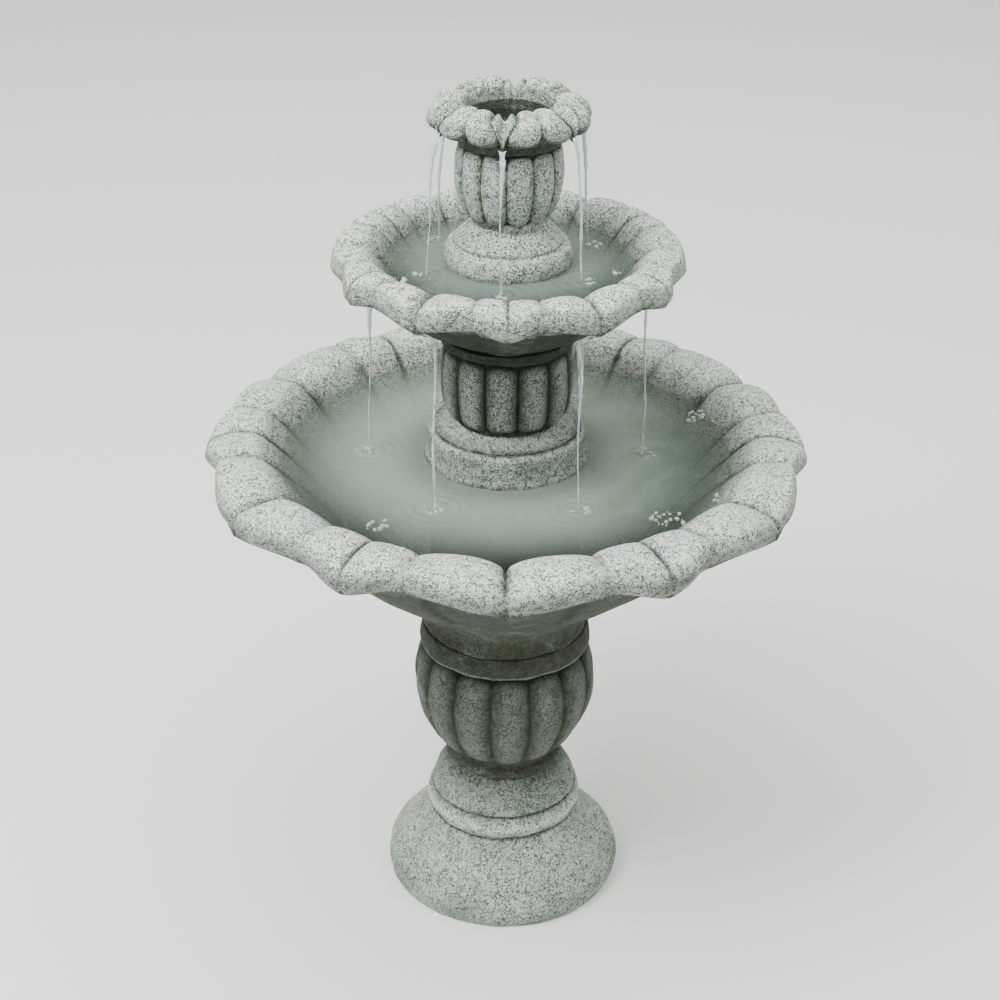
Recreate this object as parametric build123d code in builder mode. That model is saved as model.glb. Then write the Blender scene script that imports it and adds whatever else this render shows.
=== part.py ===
from build123d import *
import math
import os

# A garden fountain in three tiers, cast in thin-walled stone and stacked on one vertical axis.
# Millimetres, +Z up. The origin is on the ground, on the axis. The front is -Y.
# A bearing is an angle seen from above, 0 at the front and growing towards +X.

# ---- stacking heights, from the ground up ----
foot_height = 170.0
pedestal_vase_height = 192.0
lower_floor_rise = 90.0  # lower bowl: from its seat to the top of its floor
column_base_height = 182.0
column_vase_height = 106.0
middle_floor_rise = 32.0  # middle bowl: from its seat to the top of its floor
top_base_height = 100.0
top_vase_height = 90.0
crown_height = 51.0

# ---- radii of the castings ----
foot_radius = 145.0
foot_neck_radius = 67.0
pedestal_vase_radius = 110.0
pedestal_seat_radius = 97.0  # where the lower bowl stands on the pedestal
lower_tip_radius = 350.0
column_base_radius = 95.5
column_neck_radius = 57.0
column_vase_radius = 74.0
middle_seat_radius = 72.0  # where the middle bowl stands on its column
middle_tip_radius = 200.0
top_base_radius = 71.0
top_neck_radius = 40.0
top_vase_radius = 60.0
crown_collar_radius = 56.0
crown_tip_radius = 86.0

# ---- bowls ----
lower_rim_rise = 161.0  # crest of the rim above the floor
lower_floor_radius = 134.0
middle_rim_rise = 74.0
middle_floor_radius = 96.0
bowl_floor_thickness = 14.0
cup_floor_thickness = 10.0
cup_radius = 40.0
scallops = 12
spouts = 6
notch_depth = 24.0  # V notch through the crest at a spout

# ---- walls and fits ----
casting_wall = 14.0
small_wall = 10.0
spigot_height = 8.0
spigot_wall = 6.0
spigot_clearance = 1.0
groove_width_deg = 4.0
groove_depth = 9.0
intake_width = 50.0
intake_height = 16.0
cord_notch_width = 18.0
cord_notch_height = 14.0

# ---- water pump, standing in the foot of the column with its shaft along Y ----
pump_half_width = 24.0
pump_height = 54.0
pump_front = -10.0  # front face of the housing
pump_back = 46.0
pump_wall = 2.0
volute_radius = 18.5
volute_depth = 18.0
well_radius = 8.0
well_wall = 1.5
well_depth = 32.0
shaft_radius = 1.5
running_clearance = 0.05
impeller_radius = 15.0
magnet_radius = 7.2
foot_cup_radius = 9.0
foot_cup_height = 8.0
strainer_depth = 24.0
strainer_wall = 1.8
cover_clearance = 0.4
dial_radius = 6.0
dial_stem_radius = 2.0

# ---- hose and rubber pieces ----
hose_radius = 8.0
hose_bore_radius = 6.0
hose_hole_clearance = 1.0
gland_offset = 36.0
gland_radius = 7.5
gland_head_radius = 10.0
cord_bore_radius = 3.5
drain_bearing = -140.0
drain_radius = 8.0
drain_head_radius = 11.5
drain_gap = 6.0  # between the column's foot and the head of the drain plug

# ---- levels that follow ----
foot_top = foot_height
pedestal_top = foot_top + pedestal_vase_height
lower_floor = pedestal_top + lower_floor_rise
lower_crest = lower_floor + lower_rim_rise
column_base_top = lower_floor + column_base_height
column_top = column_base_top + column_vase_height
middle_floor = column_top + middle_floor_rise
middle_crest = middle_floor + middle_rim_rise
top_base_top = middle_floor + top_base_height
top_vase_top = top_base_top + top_vase_height
crown_top = top_vase_top + crown_height
cup_floor = top_vase_top + cup_floor_thickness
pump_bottom = lower_floor + foot_cup_height
pump_top = pump_bottom + pump_height
pump_axis = pump_bottom + pump_height / 2
hose_hole_radius = hose_radius + hose_hole_clearance
drain_distance = column_base_radius + drain_gap + drain_head_radius


def polar(radius, bearing):
    """Point in plan at a bearing, as (x, y)."""
    angle = math.radians(bearing)
    return (radius * math.sin(angle), -radius * math.cos(angle))


def draw_run(points):
    """Two points make a straight run, three an arc and more a smooth curve."""
    if len(points) == 2:
        Line(*points)
    elif len(points) == 3:
        ThreePointArc(*points)
    else:
        Spline(*points)


def turn(*runs):
    """Turns one closed half-section, given as runs of (r, z) points, about the vertical axis."""
    with BuildSketch(Plane.XZ) as section:
        with BuildLine():
            for points in runs:
                draw_run(points)
        make_face()
    revolve(section.sketch, axis=Axis.Z)


def locating_ring(outer_radius, base):
    """Short ring on top of a casting, which centres the next one."""
    with BuildSketch(Plane.XY.offset(base)) as ring:
        Circle(outer_radius)
        Circle(outer_radius - spigot_wall, mode=Mode.SUBTRACT)
    extrude(ring.sketch, amount=spigot_height)


def meridian_cutter(bottom, middle, top):
    """Thin wedge that cuts one groove down a vase, deepest halfway and fading out at both ends."""
    reach = middle[0] + 2 * groove_depth
    with BuildPart() as cutter:
        with BuildSketch(Plane.XZ):
            with BuildLine():
                ThreePointArc(bottom, (middle[0] - groove_depth, middle[1]), top)
                Polyline(top, (reach, top[1]), (reach, bottom[1]), bottom)
            make_face()
        revolve(axis=Axis.Z, revolution_arc=groove_width_deg)
    return cutter.part


def scalloped_blank(tip_radius, valley_radius, count, low, high):
    """Prism whose outline has pointed tips, the first at the front, with shallow arcs between."""
    step = 360 / count
    with BuildPart() as blank:
        with BuildSketch(Plane.XY.offset(low)):
            with BuildLine():
                for number in range(count):
                    start = number * step
                    ThreePointArc(
                        polar(tip_radius, start),
                        polar(valley_radius, start + step / 2),
                        polar(tip_radius, start + step),
                    )
            make_face()
        extrude(amount=high - low)
    return blank.part


def rim_cutter(start_radius, end_radius, crest, depth, width):
    """V-shaped channel along +X through the crest of a rim."""
    section = Plane(origin=(start_radius, 0, crest), x_dir=(0, 1, 0), z_dir=(1, 0, 0))
    lift = depth / 2  # the V goes on above the crest so that it opens it fully
    reach = width / 2 * (depth + lift) / depth
    with BuildPart() as cutter:
        with BuildSketch(section):
            Polygon((0, -depth), (reach, lift), (-reach, lift), align=None)
        extrude(amount=end_radius - start_radius)
    return cutter.part


def save(piece, node):
    """Labels a finished piece and writes it."""
    piece.label = node
    export_step(piece, f"parts/{node}.step")


os.makedirs("parts", exist_ok=True)

# ======================= pedestal =======================
foot_hollow_radius = foot_neck_radius - casting_wall
vase_foot_hollow = foot_hollow_radius
foot_ring_radius = vase_foot_hollow - spigot_clearance
foot_top_hollow = foot_ring_radius - spigot_wall
bead_height = foot_height * 0.66
bead_radius = foot_neck_radius + 27

with BuildPart() as pedestal_foot:
    rim_height = foot_height * 0.15
    turn(
        [(foot_radius - 4, 0), (foot_radius, rim_height * 0.45), (foot_radius - 6, rim_height)],
        [
            (foot_radius - 6, rim_height),
            (foot_radius * 0.82, rim_height * 1.6),
            (foot_radius * 0.69, foot_height * 0.4),
            (bead_radius - 5, bead_height - 13),
        ],
        [
            (bead_radius - 5, bead_height - 13),
            (bead_radius, bead_height),
            (bead_radius - 9, bead_height + 11),
        ],
        [
            (bead_radius - 9, bead_height + 11),
            (foot_neck_radius + 9, foot_height * 0.82),
            (foot_neck_radius + 2, foot_height * 0.92),
            (foot_neck_radius, foot_height),
        ],
        [(foot_neck_radius, foot_height), (foot_top_hollow, foot_height)],
        [(foot_top_hollow, foot_height), (foot_top_hollow, foot_height * 0.72)],
        [(foot_top_hollow, foot_height * 0.72), (foot_radius * 0.5, foot_height * 0.38)],
        [(foot_radius * 0.5, foot_height * 0.38), (foot_radius - casting_wall - 4, rim_height * 0.5)],
        [(foot_radius - casting_wall - 4, rim_height * 0.5), (foot_radius - casting_wall - 4, 0)],
        [(foot_radius - casting_wall - 4, 0), (foot_radius - 4, 0)],
    )
    locating_ring(foot_ring_radius, foot_top)
    with Locations((0, foot_radius - casting_wall, 0)):
        Box(cord_notch_width, casting_wall * 4, 2 * cord_notch_height, mode=Mode.SUBTRACT)
save(pedestal_foot.part, "pedestal_foot")

collar_bottom = pedestal_top - 27
bowl_ring_radius = pedestal_seat_radius - casting_wall - spigot_clearance
pedestal_top_hollow = bowl_ring_radius - spigot_wall
gadroon_low = foot_top + 20
pedestal_belly = (gadroon_low + collar_bottom) / 2 + 17
pedestal_gadroons = 14
pedestal_groove = meridian_cutter(
    (foot_neck_radius + 2, gadroon_low),
    (pedestal_vase_radius, pedestal_belly),
    (pedestal_seat_radius - 2, collar_bottom),
)

with BuildPart() as pedestal_vase:
    turn(
        [(foot_neck_radius - 1, foot_top), (foot_neck_radius + 4, foot_top + 7)],
        [(foot_neck_radius + 4, foot_top + 7), (foot_neck_radius - 1, foot_top + 14)],
        [(foot_neck_radius - 1, foot_top + 14), (foot_neck_radius + 2, gadroon_low)],
        [
            (foot_neck_radius + 2, gadroon_low),
            (pedestal_vase_radius, pedestal_belly),
            (pedestal_seat_radius - 2, collar_bottom),
        ],
        [
            (pedestal_seat_radius - 2, collar_bottom),
            (pedestal_seat_radius + 6, (collar_bottom + pedestal_top) / 2 - 4),
            (pedestal_seat_radius, pedestal_top),
        ],
        [(pedestal_seat_radius, pedestal_top), (pedestal_top_hollow, pedestal_top)],
        [
            (pedestal_top_hollow, pedestal_top),
            (pedestal_vase_radius - groove_depth - casting_wall, pedestal_belly),
            (vase_foot_hollow, foot_top + 30),
        ],
        [(vase_foot_hollow, foot_top + 30), (vase_foot_hollow, foot_top)],
        [(vase_foot_hollow, foot_top), (foot_neck_radius - 1, foot_top)],
    )
    locating_ring(bowl_ring_radius, pedestal_top)
    with PolarLocations(0, pedestal_gadroons, start_angle=-90 + 4 + 180 / pedestal_gadroons):
        add(pedestal_groove, mode=Mode.SUBTRACT)
save(pedestal_vase.part, "pedestal_vase")


# ======================= bowls =======================
def rim_runs(tip, crest, inner_top, outer_wall, thickness):
    """Rim of a bowl: up over the crest and out to the drooping lip, then back in under it."""
    crest_radius = tip - (tip - inner_top[0]) * 0.8
    lip_low = crest - thickness * 2.6
    throat = (outer_wall[0] + thickness * 0.9, lip_low + thickness * 0.4)
    return [
        [inner_top, (inner_top[0] + thickness * 0.35, crest - thickness * 0.6), (crest_radius, crest)],
        [
            (crest_radius, crest),
            (crest_radius + (tip - crest_radius) * 0.45, crest - thickness * 0.4),
            (crest_radius + (tip - crest_radius) * 0.8, crest - thickness * 1.3),
            (tip, lip_low + thickness * 0.35),
        ],
        [(tip, lip_low + thickness * 0.35), (tip - thickness * 0.3, lip_low)],
        [
            (tip - thickness * 0.3, lip_low),
            ((tip + throat[0]) / 2, throat[1] + thickness * 0.1),
            throat,
        ],
        [throat, outer_wall],
    ]


lower_lip = 13.0
lower_wall_top = (lower_tip_radius * 0.809, lower_crest - 24)
lower_outer_top = (lower_tip_radius * 0.82, lower_crest - 57)
lower_hollow_radius = pedestal_seat_radius - casting_wall
lower_hollow_top = lower_floor - bowl_floor_thickness

lower_blank = scalloped_blank(
    lower_tip_radius, lower_tip_radius * 0.93, scallops, pedestal_top - 10, lower_crest + 10
)
lower_notch = rim_cutter(
    lower_tip_radius * 0.76, lower_tip_radius + 10, lower_crest, notch_depth, notch_depth * 1.8
)
lower_flute = rim_cutter(
    lower_tip_radius * 0.78, lower_tip_radius + 10, lower_crest, notch_depth * 0.4, notch_depth * 0.5
)

with BuildPart() as lower_bowl:
    turn(
        [(0, lower_floor), (lower_floor_radius, lower_floor)],
        [(lower_floor_radius, lower_floor), (lower_tip_radius * 0.63, lower_floor + 65)],
        [(lower_tip_radius * 0.63, lower_floor + 65), lower_wall_top],
        *rim_runs(lower_tip_radius + 1, lower_crest, lower_wall_top, lower_outer_top, lower_lip),
        [lower_outer_top, (lower_tip_radius * 0.63, lower_floor + 44)],
        [
            (lower_tip_radius * 0.63, lower_floor + 44),
            (pedestal_seat_radius + 22, pedestal_top + 50),
        ],
        [(pedestal_seat_radius + 22, pedestal_top + 50), (pedestal_seat_radius + 1, pedestal_top + 24)],
        [(pedestal_seat_radius + 1, pedestal_top + 24), (pedestal_seat_radius + 1, pedestal_top)],
        [(pedestal_seat_radius + 1, pedestal_top), (lower_hollow_radius, pedestal_top)],
        [(lower_hollow_radius, pedestal_top), (lower_hollow_radius, pedestal_top + 24)],
        [(lower_hollow_radius, pedestal_top + 24), (lower_floor_radius - 10, lower_hollow_top - 6)],
        [(lower_floor_radius - 10, lower_hollow_top - 6), (lower_floor_radius - 16, lower_hollow_top)],
        [(lower_floor_radius - 16, lower_hollow_top), (0, lower_hollow_top)],
        [(0, lower_hollow_top), (0, lower_floor)],
    )
    add(lower_blank, mode=Mode.INTERSECT)
    with PolarLocations(0, spouts, start_angle=-90):
        add(lower_notch, mode=Mode.SUBTRACT)
    for flute_bearing in (18.6, 30, 41.4):
        with PolarLocations(0, spouts, start_angle=-90 + flute_bearing):
            add(lower_flute, mode=Mode.SUBTRACT)
    with Locations((gland_offset, 0, lower_floor)):
        Cylinder(gland_radius, 4 * bowl_floor_thickness, mode=Mode.SUBTRACT)
    with Locations((*polar(drain_distance, drain_bearing), lower_floor)):
        Cylinder(drain_radius, 4 * bowl_floor_thickness, mode=Mode.SUBTRACT)
save(lower_bowl.part, "lower_bowl")

middle_lip = 9.0
middle_wall_top = (middle_tip_radius * 0.775, middle_crest - 23)
middle_outer_top = (middle_tip_radius * 0.80, middle_crest - 40)
middle_hollow_radius = middle_seat_radius - casting_wall
middle_hollow_top = middle_floor - bowl_floor_thickness
standpipe_radius = hose_hole_radius + small_wall
standpipe_top = middle_crest - 14  # above the water, so that the bowl doesn't empty into the column

middle_blank = scalloped_blank(
    middle_tip_radius, middle_tip_radius * 0.93, scallops, column_top - 10, middle_crest + 10
)
middle_notch = rim_cutter(
    middle_tip_radius * 0.72, middle_tip_radius + 10, middle_crest, notch_depth * 0.9, notch_depth * 1.2
)
middle_flute = rim_cutter(
    middle_tip_radius * 0.76, middle_tip_radius + 10, middle_crest, notch_depth * 0.3, notch_depth * 0.4
)

with BuildPart() as middle_bowl:
    turn(
        [(0, middle_floor), (middle_floor_radius, middle_floor)],
        [(middle_floor_radius, middle_floor), (middle_tip_radius * 0.7, middle_floor + 28)],
        [(middle_tip_radius * 0.7, middle_floor + 28), middle_wall_top],
        *rim_runs(middle_tip_radius + 1, middle_crest, middle_wall_top, middle_outer_top, middle_lip),
        [middle_outer_top, (middle_tip_radius * 0.72, middle_floor + 13)],
        [(middle_tip_radius * 0.72, middle_floor + 13), (middle_seat_radius + 24, column_top + 14)],
        [(middle_seat_radius + 24, column_top + 14), (middle_seat_radius, column_top)],
        [(middle_seat_radius, column_top), (middle_hollow_radius, column_top)],
        [(middle_hollow_radius, column_top), (middle_hollow_radius, middle_hollow_top)],
        [(middle_hollow_radius, middle_hollow_top), (0, middle_hollow_top)],
        [(0, middle_hollow_top), (0, middle_floor)],
    )
    add(middle_blank, mode=Mode.INTERSECT)
    with PolarLocations(0, spouts, start_angle=-60):
        add(middle_notch, mode=Mode.SUBTRACT)
    for flute_bearing in (18.6, 30, 41.4):
        with PolarLocations(0, spouts, start_angle=-60 + flute_bearing):
            add(middle_flute, mode=Mode.SUBTRACT)
    with BuildSketch(Plane.XY.offset(middle_floor)):
        Circle(standpipe_radius)
    extrude(amount=standpipe_top - middle_floor)
    Cylinder(hose_hole_radius, 2 * crown_top, mode=Mode.SUBTRACT)
save(middle_bowl.part, "middle_bowl")

# ======================= column between the lower and middle bowls =======================
chamber_radius = column_base_radius - casting_wall - 3
chamber_height = column_base_height * 0.78
column_hollow_radius = column_neck_radius - casting_wall
middle_ring_radius = middle_hollow_radius - spigot_clearance
column_top_hollow = middle_ring_radius - spigot_wall
flare = lower_floor + column_base_height * 0.74  # widest line, at the water

with BuildPart() as column_base:
    turn(
        [(column_base_radius - 7, lower_floor), (column_base_radius - 5, flare - 22)],
        [
            (column_base_radius - 5, flare - 22),
            (column_base_radius, flare - 8),
            (column_base_radius - 4, flare + 12),
        ],
        [(column_base_radius - 4, flare + 12), (column_base_radius - 6, flare + 12)],
        [(column_base_radius - 6, flare + 12), (column_base_radius - 6, column_base_top - 16)],
        [
            (column_base_radius - 6, column_base_top - 16),
            (column_base_radius - 8, column_base_top - 9),
            (column_base_radius - 13, column_base_top - 7),
        ],
        [(column_base_radius - 13, column_base_top - 7), (column_neck_radius, column_base_top)],
        [(column_neck_radius, column_base_top), (column_hollow_radius, column_base_top)],
        [(column_hollow_radius, column_base_top), (column_hollow_radius, column_base_top - 14)],
        [(column_hollow_radius, column_base_top - 14), (chamber_radius, lower_floor + chamber_height)],
        [(chamber_radius, lower_floor + chamber_height), (chamber_radius, lower_floor)],
        [(chamber_radius, lower_floor), (column_base_radius - 7, lower_floor)],
    )
    for arch_bearing in (-9, 111, 231):
        arch_place = (*polar(column_base_radius - casting_wall / 2, arch_bearing), lower_floor)
        with Locations(Location(arch_place, (0, 0, arch_bearing))):
            Box(intake_width, casting_wall * 4, 2 * intake_height, mode=Mode.SUBTRACT)
save(column_base.part, "column_base")

column_band = column_top - 11
column_belly = (column_base_top + column_band) / 2 + 4
column_gadroons = 12
column_groove = meridian_cutter(
    (column_neck_radius + 2, column_base_top + 7),
    (column_vase_radius, column_belly),
    (column_vase_radius - 3, column_band - 1),
)

with BuildPart() as column_vase:
    turn(
        [(column_neck_radius, column_base_top), (column_neck_radius + 2, column_base_top + 7)],
        [
            (column_neck_radius + 2, column_base_top + 7),
            (column_vase_radius, column_belly),
            (column_vase_radius - 3, column_band - 1),
        ],
        [(column_vase_radius - 3, column_band - 1), (column_vase_radius, column_band)],
        [(column_vase_radius, column_band), (column_vase_radius + 2, column_top)],
        [(column_vase_radius + 2, column_top), (column_top_hollow, column_top)],
        [
            (column_top_hollow, column_top),
            (column_vase_radius - groove_depth - small_wall, column_belly),
            (column_hollow_radius, column_base_top + 20),
        ],
        [(column_hollow_radius, column_base_top + 20), (column_hollow_radius, column_base_top)],
        [(column_hollow_radius, column_base_top), (column_neck_radius, column_base_top)],
    )
    locating_ring(middle_ring_radius, column_top)
    with PolarLocations(0, column_gadroons, start_angle=-90 + 10):
        add(column_groove, mode=Mode.SUBTRACT)
save(column_vase.part, "column_vase")

# ======================= column above the middle bowl, and the crown =======================
top_chamber_radius = top_base_radius - casting_wall
top_hollow_radius = top_neck_radius - small_wall - 4

with BuildPart() as top_base:
    turn(
        [(top_base_radius, middle_floor), (top_base_radius, middle_floor + top_base_height * 0.62)],
        [
            (top_base_radius, middle_floor + top_base_height * 0.62),
            (top_base_radius - 2, middle_floor + top_base_height * 0.74),
            (top_base_radius - 11, middle_floor + top_base_height * 0.79),
        ],
        [
            (top_base_radius - 11, middle_floor + top_base_height * 0.79),
            (top_neck_radius + 13, top_base_top - 13),
            (top_neck_radius + 4, top_base_top - 6),
            (top_neck_radius, top_base_top),
        ],
        [(top_neck_radius, top_base_top), (top_hollow_radius, top_base_top)],
        [(top_hollow_radius, top_base_top), (top_hollow_radius, top_base_top - 14)],
        [
            (top_hollow_radius, top_base_top - 14),
            (top_chamber_radius, middle_floor + top_base_height * 0.62),
        ],
        [(top_chamber_radius, middle_floor + top_base_height * 0.62), (top_chamber_radius, middle_floor)],
        [(top_chamber_radius, middle_floor), (top_base_radius, middle_floor)],
    )
save(top_base.part, "top_base")

top_belly = (top_base_top + top_vase_top) / 2 + 9
top_rim_radius = crown_collar_radius - 5
top_gadroons = 14
top_groove = meridian_cutter(
    (top_neck_radius, top_base_top + 8), (top_vase_radius, top_belly), (top_rim_radius, top_vase_top)
)

with BuildPart() as top_vase:
    turn(
        [(top_neck_radius, top_base_top), (top_neck_radius, top_base_top + 8)],
        [
            (top_neck_radius, top_base_top + 8),
            (top_vase_radius, top_belly),
            (top_rim_radius, top_vase_top),
        ],
        [(top_rim_radius, top_vase_top), (top_rim_radius - small_wall - 2, top_vase_top)],
        [
            (top_rim_radius - small_wall - 2, top_vase_top),
            (top_vase_radius - groove_depth - small_wall, top_belly),
            (top_hollow_radius, top_base_top + 16),
        ],
        [(top_hollow_radius, top_base_top + 16), (top_hollow_radius, top_base_top)],
        [(top_hollow_radius, top_base_top), (top_neck_radius, top_base_top)],
    )
    with PolarLocations(0, top_gadroons, start_angle=-90 - 2):
        add(top_groove, mode=Mode.SUBTRACT)
save(top_vase.part, "top_vase")

spout_turn = -5.0  # bearing of the front spout
spout_step = 360 / spouts
crown_valley = crown_tip_radius * 0.87
flange_deg = 9.0
grommet_radius = hose_radius + 4


def crown_blank():
    """Outline of the crown: six pointed spouts with two round lobes between each pair."""
    half = spout_step / 2
    with BuildPart() as blank:
        with BuildSketch(Plane.XY.offset(top_vase_top - 5)):
            with BuildLine():
                for number in range(spouts):
                    start = spout_turn + number * spout_step
                    tip = polar(crown_tip_radius, start)
                    next_tip = polar(crown_tip_radius, start + spout_step)
                    first = polar(crown_valley, start + flange_deg)
                    middle = polar(crown_valley, start + half)
                    last = polar(crown_valley, start + spout_step - flange_deg)
                    lobe = (flange_deg + half) / 2
                    Line(tip, first)
                    ThreePointArc(first, polar(crown_tip_radius, start + lobe), middle)
                    ThreePointArc(middle, polar(crown_tip_radius, start + spout_step - lobe), last)
                    Line(last, next_tip)
            make_face()
        extrude(amount=crown_height + 10)
    return blank.part


crown_outline = crown_blank()
spout_notch = rim_cutter(cup_radius, crown_tip_radius + 10, crown_top, crown_height * 0.52, 20)
lobe_notch = rim_cutter(cup_radius + 12, crown_tip_radius + 10, crown_top, 9, 7)
crown_crest_radius = (cup_radius + 8 + crown_tip_radius) / 2 - 3

with BuildPart() as crown:
    turn(
        [(0, cup_floor), (cup_radius, cup_floor)],
        [(cup_radius, cup_floor), (cup_radius + 8, crown_top - 10)],
        [
            (cup_radius + 8, crown_top - 10),
            (cup_radius + 12, crown_top - 4),
            (crown_crest_radius, crown_top),
        ],
        [
            (crown_crest_radius, crown_top),
            (crown_tip_radius - 8, crown_top - 7),
            (crown_tip_radius - 2, crown_top - 19),
            (crown_tip_radius + 1, crown_top - 30),
        ],
        [(crown_tip_radius + 1, crown_top - 30), (crown_tip_radius - 6, crown_top - 34)],
        [(crown_tip_radius - 6, crown_top - 34), (crown_collar_radius, top_vase_top + 12)],
        [(crown_collar_radius, top_vase_top + 12), (crown_collar_radius, top_vase_top)],
        [(crown_collar_radius, top_vase_top), (0, top_vase_top)],
        [(0, top_vase_top), (0, cup_floor)],
    )
    add(crown_outline, mode=Mode.INTERSECT)
    with PolarLocations(0, spouts, start_angle=-90 + spout_turn):
        add(spout_notch, mode=Mode.SUBTRACT)
    for lobe_bearing in (flange_deg, spout_step / 2, spout_step - flange_deg):
        with PolarLocations(0, spouts, start_angle=-90 + spout_turn + lobe_bearing):
            add(lobe_notch, mode=Mode.SUBTRACT)
    with Locations((0, 0, top_vase_top)):
        Cylinder(grommet_radius, 4 * cup_floor_thickness, mode=Mode.SUBTRACT)
save(crown.part, "crown")


# ======================= water pump =======================
# The shaft runs along Y. The strainer is at the front, the motor at the back and the outlet on top.
pump_width = 2 * pump_half_width
motor_start = pump_front + volute_depth + 3
well_start = pump_front + volute_depth
well_end = well_start + well_depth
pocket_width = pump_width - 2 * pump_wall
pocket_height = pump_height - 2 * pump_wall
shaft_plane = Plane(origin=(0, 0, pump_axis), x_dir=(1, 0, 0), z_dir=(0, 1, 0))
outlet_radius = 6.0
outlet_boss_radius = 9.0
outlet_boss_height = 6.0
o_ring_inner = volute_radius + 1.5
o_ring_section = 2.2
foot_spread_x = pump_half_width - 7
foot_front = pump_front + 12
foot_rear = pump_back - 10
foot_places = [(x, y) for x in (-foot_spread_x, foot_spread_x) for y in (foot_front, foot_rear)]
foot_stem_radius = 2.2
foot_stem_depth = pump_wall


def rod(radius, start, end, mode=Mode.ADD):
    """Round solid on the pump's shaft line, from one Y to another."""
    with BuildSketch(shaft_plane.offset(start)) as section:
        Circle(radius)
    extrude(section.sketch, amount=end - start, mode=mode)


def block(width, height, start, end, centre=(0, 0), mode=Mode.ADD):
    """Rectangular solid across the pump, from one Y to another. Its centre is (x, height over the shaft)."""
    with Locations((centre[0], (start + end) / 2, pump_axis + centre[1])):
        Box(width, end - start, height, mode=mode)


with BuildPart() as pump_housing:
    block(pump_width, pump_height, pump_front, pump_back)
    fillet(pump_housing.edges().filter_by(Axis.Y), radius=4)
    block(pocket_width, pocket_height, motor_start, pump_back, mode=Mode.SUBTRACT)
    rod(well_radius + well_wall, well_start, well_end + well_wall)
    rod(volute_radius, pump_front, well_start, mode=Mode.SUBTRACT)
    rod(well_radius, well_start, well_end, mode=Mode.SUBTRACT)
    with BuildSketch(Plane.XY.offset(pump_top)):
        Circle(outlet_boss_radius)
    extrude(amount=outlet_boss_height)
    with BuildSketch(Plane.XY.offset(pump_top + outlet_boss_height)):
        Circle(outlet_radius)
    extrude(amount=-(outlet_boss_height + pump_height / 2 - volute_radius + 3), mode=Mode.SUBTRACT)
    with BuildSketch(shaft_plane.offset(pump_front)):
        Circle(o_ring_inner + o_ring_section)
        Circle(o_ring_inner, mode=Mode.SUBTRACT)
    extrude(amount=o_ring_section, mode=Mode.SUBTRACT)
    with BuildSketch(Plane.XY.offset(pump_bottom)):
        with Locations(*foot_places):
            Circle(foot_stem_radius)
    extrude(amount=foot_stem_depth, mode=Mode.SUBTRACT)
save(pump_housing.part, "pump_housing")

core_width = pocket_width - 10
core_low = -pocket_height / 2 + 3
core_high = well_radius + well_wall + 5
core_start = motor_start + 6
core_end = core_start + 14
leg_width = 8.0
window_width = core_width - 2 * leg_width
window_low = core_low + 3
window_high = -well_radius - well_wall - 1

with BuildPart() as stator_core:
    block(core_width, core_high - core_low, core_start, core_end, (0, (core_high + core_low) / 2))
    rod(well_radius + well_wall, core_start, core_end, mode=Mode.SUBTRACT)
    block(
        window_width,
        window_high - window_low,
        core_start,
        core_end,
        (0, (window_high + window_low) / 2),
        mode=Mode.SUBTRACT,
    )
save(stator_core.part, "stator_core")

coil_build = 3.0
with BuildPart() as stator_coils:
    for side in (-1, 1):
        leg_centre = (side * (core_width - leg_width) / 2, (window_high + window_low) / 2)
        block(
            leg_width + 2 * coil_build,
            window_high - window_low,
            core_start - coil_build,
            core_end + coil_build,
            leg_centre,
        )
        block(leg_width, window_high - window_low, core_start, core_end, leg_centre, mode=Mode.SUBTRACT)
save(stator_coils.part, "stator_coils")

with BuildPart() as potting:
    block(pocket_width, pocket_height, motor_start, pump_back)
    rod(well_radius + well_wall, motor_start, well_end + well_wall, mode=Mode.SUBTRACT)
    add(stator_core.part, mode=Mode.SUBTRACT)
    add(stator_coils.part, mode=Mode.SUBTRACT)
save(potting.part, "potting")

bush_length = 4.0
bush_radius = 2.5
eye_radius = 7.0
cover_plate = 3.0
cover_hub_radius = 4.2
plate_width = pump_width - 2 * strainer_wall - 2 * cover_clearance
plate_height = pump_height - 2 * strainer_wall - 2 * cover_clearance

with BuildPart() as shaft_bush_rear:
    rod(well_radius, well_end - bush_length, well_end)
    rod(shaft_radius + running_clearance, well_end - bush_length, well_end - 1, mode=Mode.SUBTRACT)
save(shaft_bush_rear.part, "shaft_bush_rear")

with BuildPart() as volute_cover:
    block(plate_width, plate_height, pump_front - cover_plate, pump_front)
    rod(eye_radius, pump_front - cover_plate, pump_front, mode=Mode.SUBTRACT)
    rod(cover_hub_radius, pump_front - cover_plate, pump_front)
    for arm_turn in (90, 210, 330):
        with BuildSketch(shaft_plane.offset(pump_front - cover_plate)):
            with PolarLocations((cover_hub_radius + eye_radius) / 2, 1, start_angle=arm_turn):
                Rectangle(eye_radius - cover_hub_radius + 1, 1.6)
        extrude(amount=cover_plate)
    rod(bush_radius, pump_front - cover_plate, pump_front, mode=Mode.SUBTRACT)
save(volute_cover.part, "volute_cover")

with BuildPart() as shaft_bush_front:
    rod(bush_radius, pump_front - cover_plate, pump_front + 1)
    rod(shaft_radius + running_clearance, pump_front - cover_plate + 0.8, pump_front + 1, mode=Mode.SUBTRACT)
save(shaft_bush_front.part, "shaft_bush_front")

with BuildPart() as o_ring:
    with BuildSketch(Plane.XY):
        with Locations((o_ring_inner + o_ring_section / 2, pump_front + o_ring_section / 2)):
            Circle(o_ring_section / 2)
    revolve(axis=Axis.Y)
o_ring_placed = Pos(0, 0, pump_axis) * o_ring.part
save(o_ring_placed, "o_ring")

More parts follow.
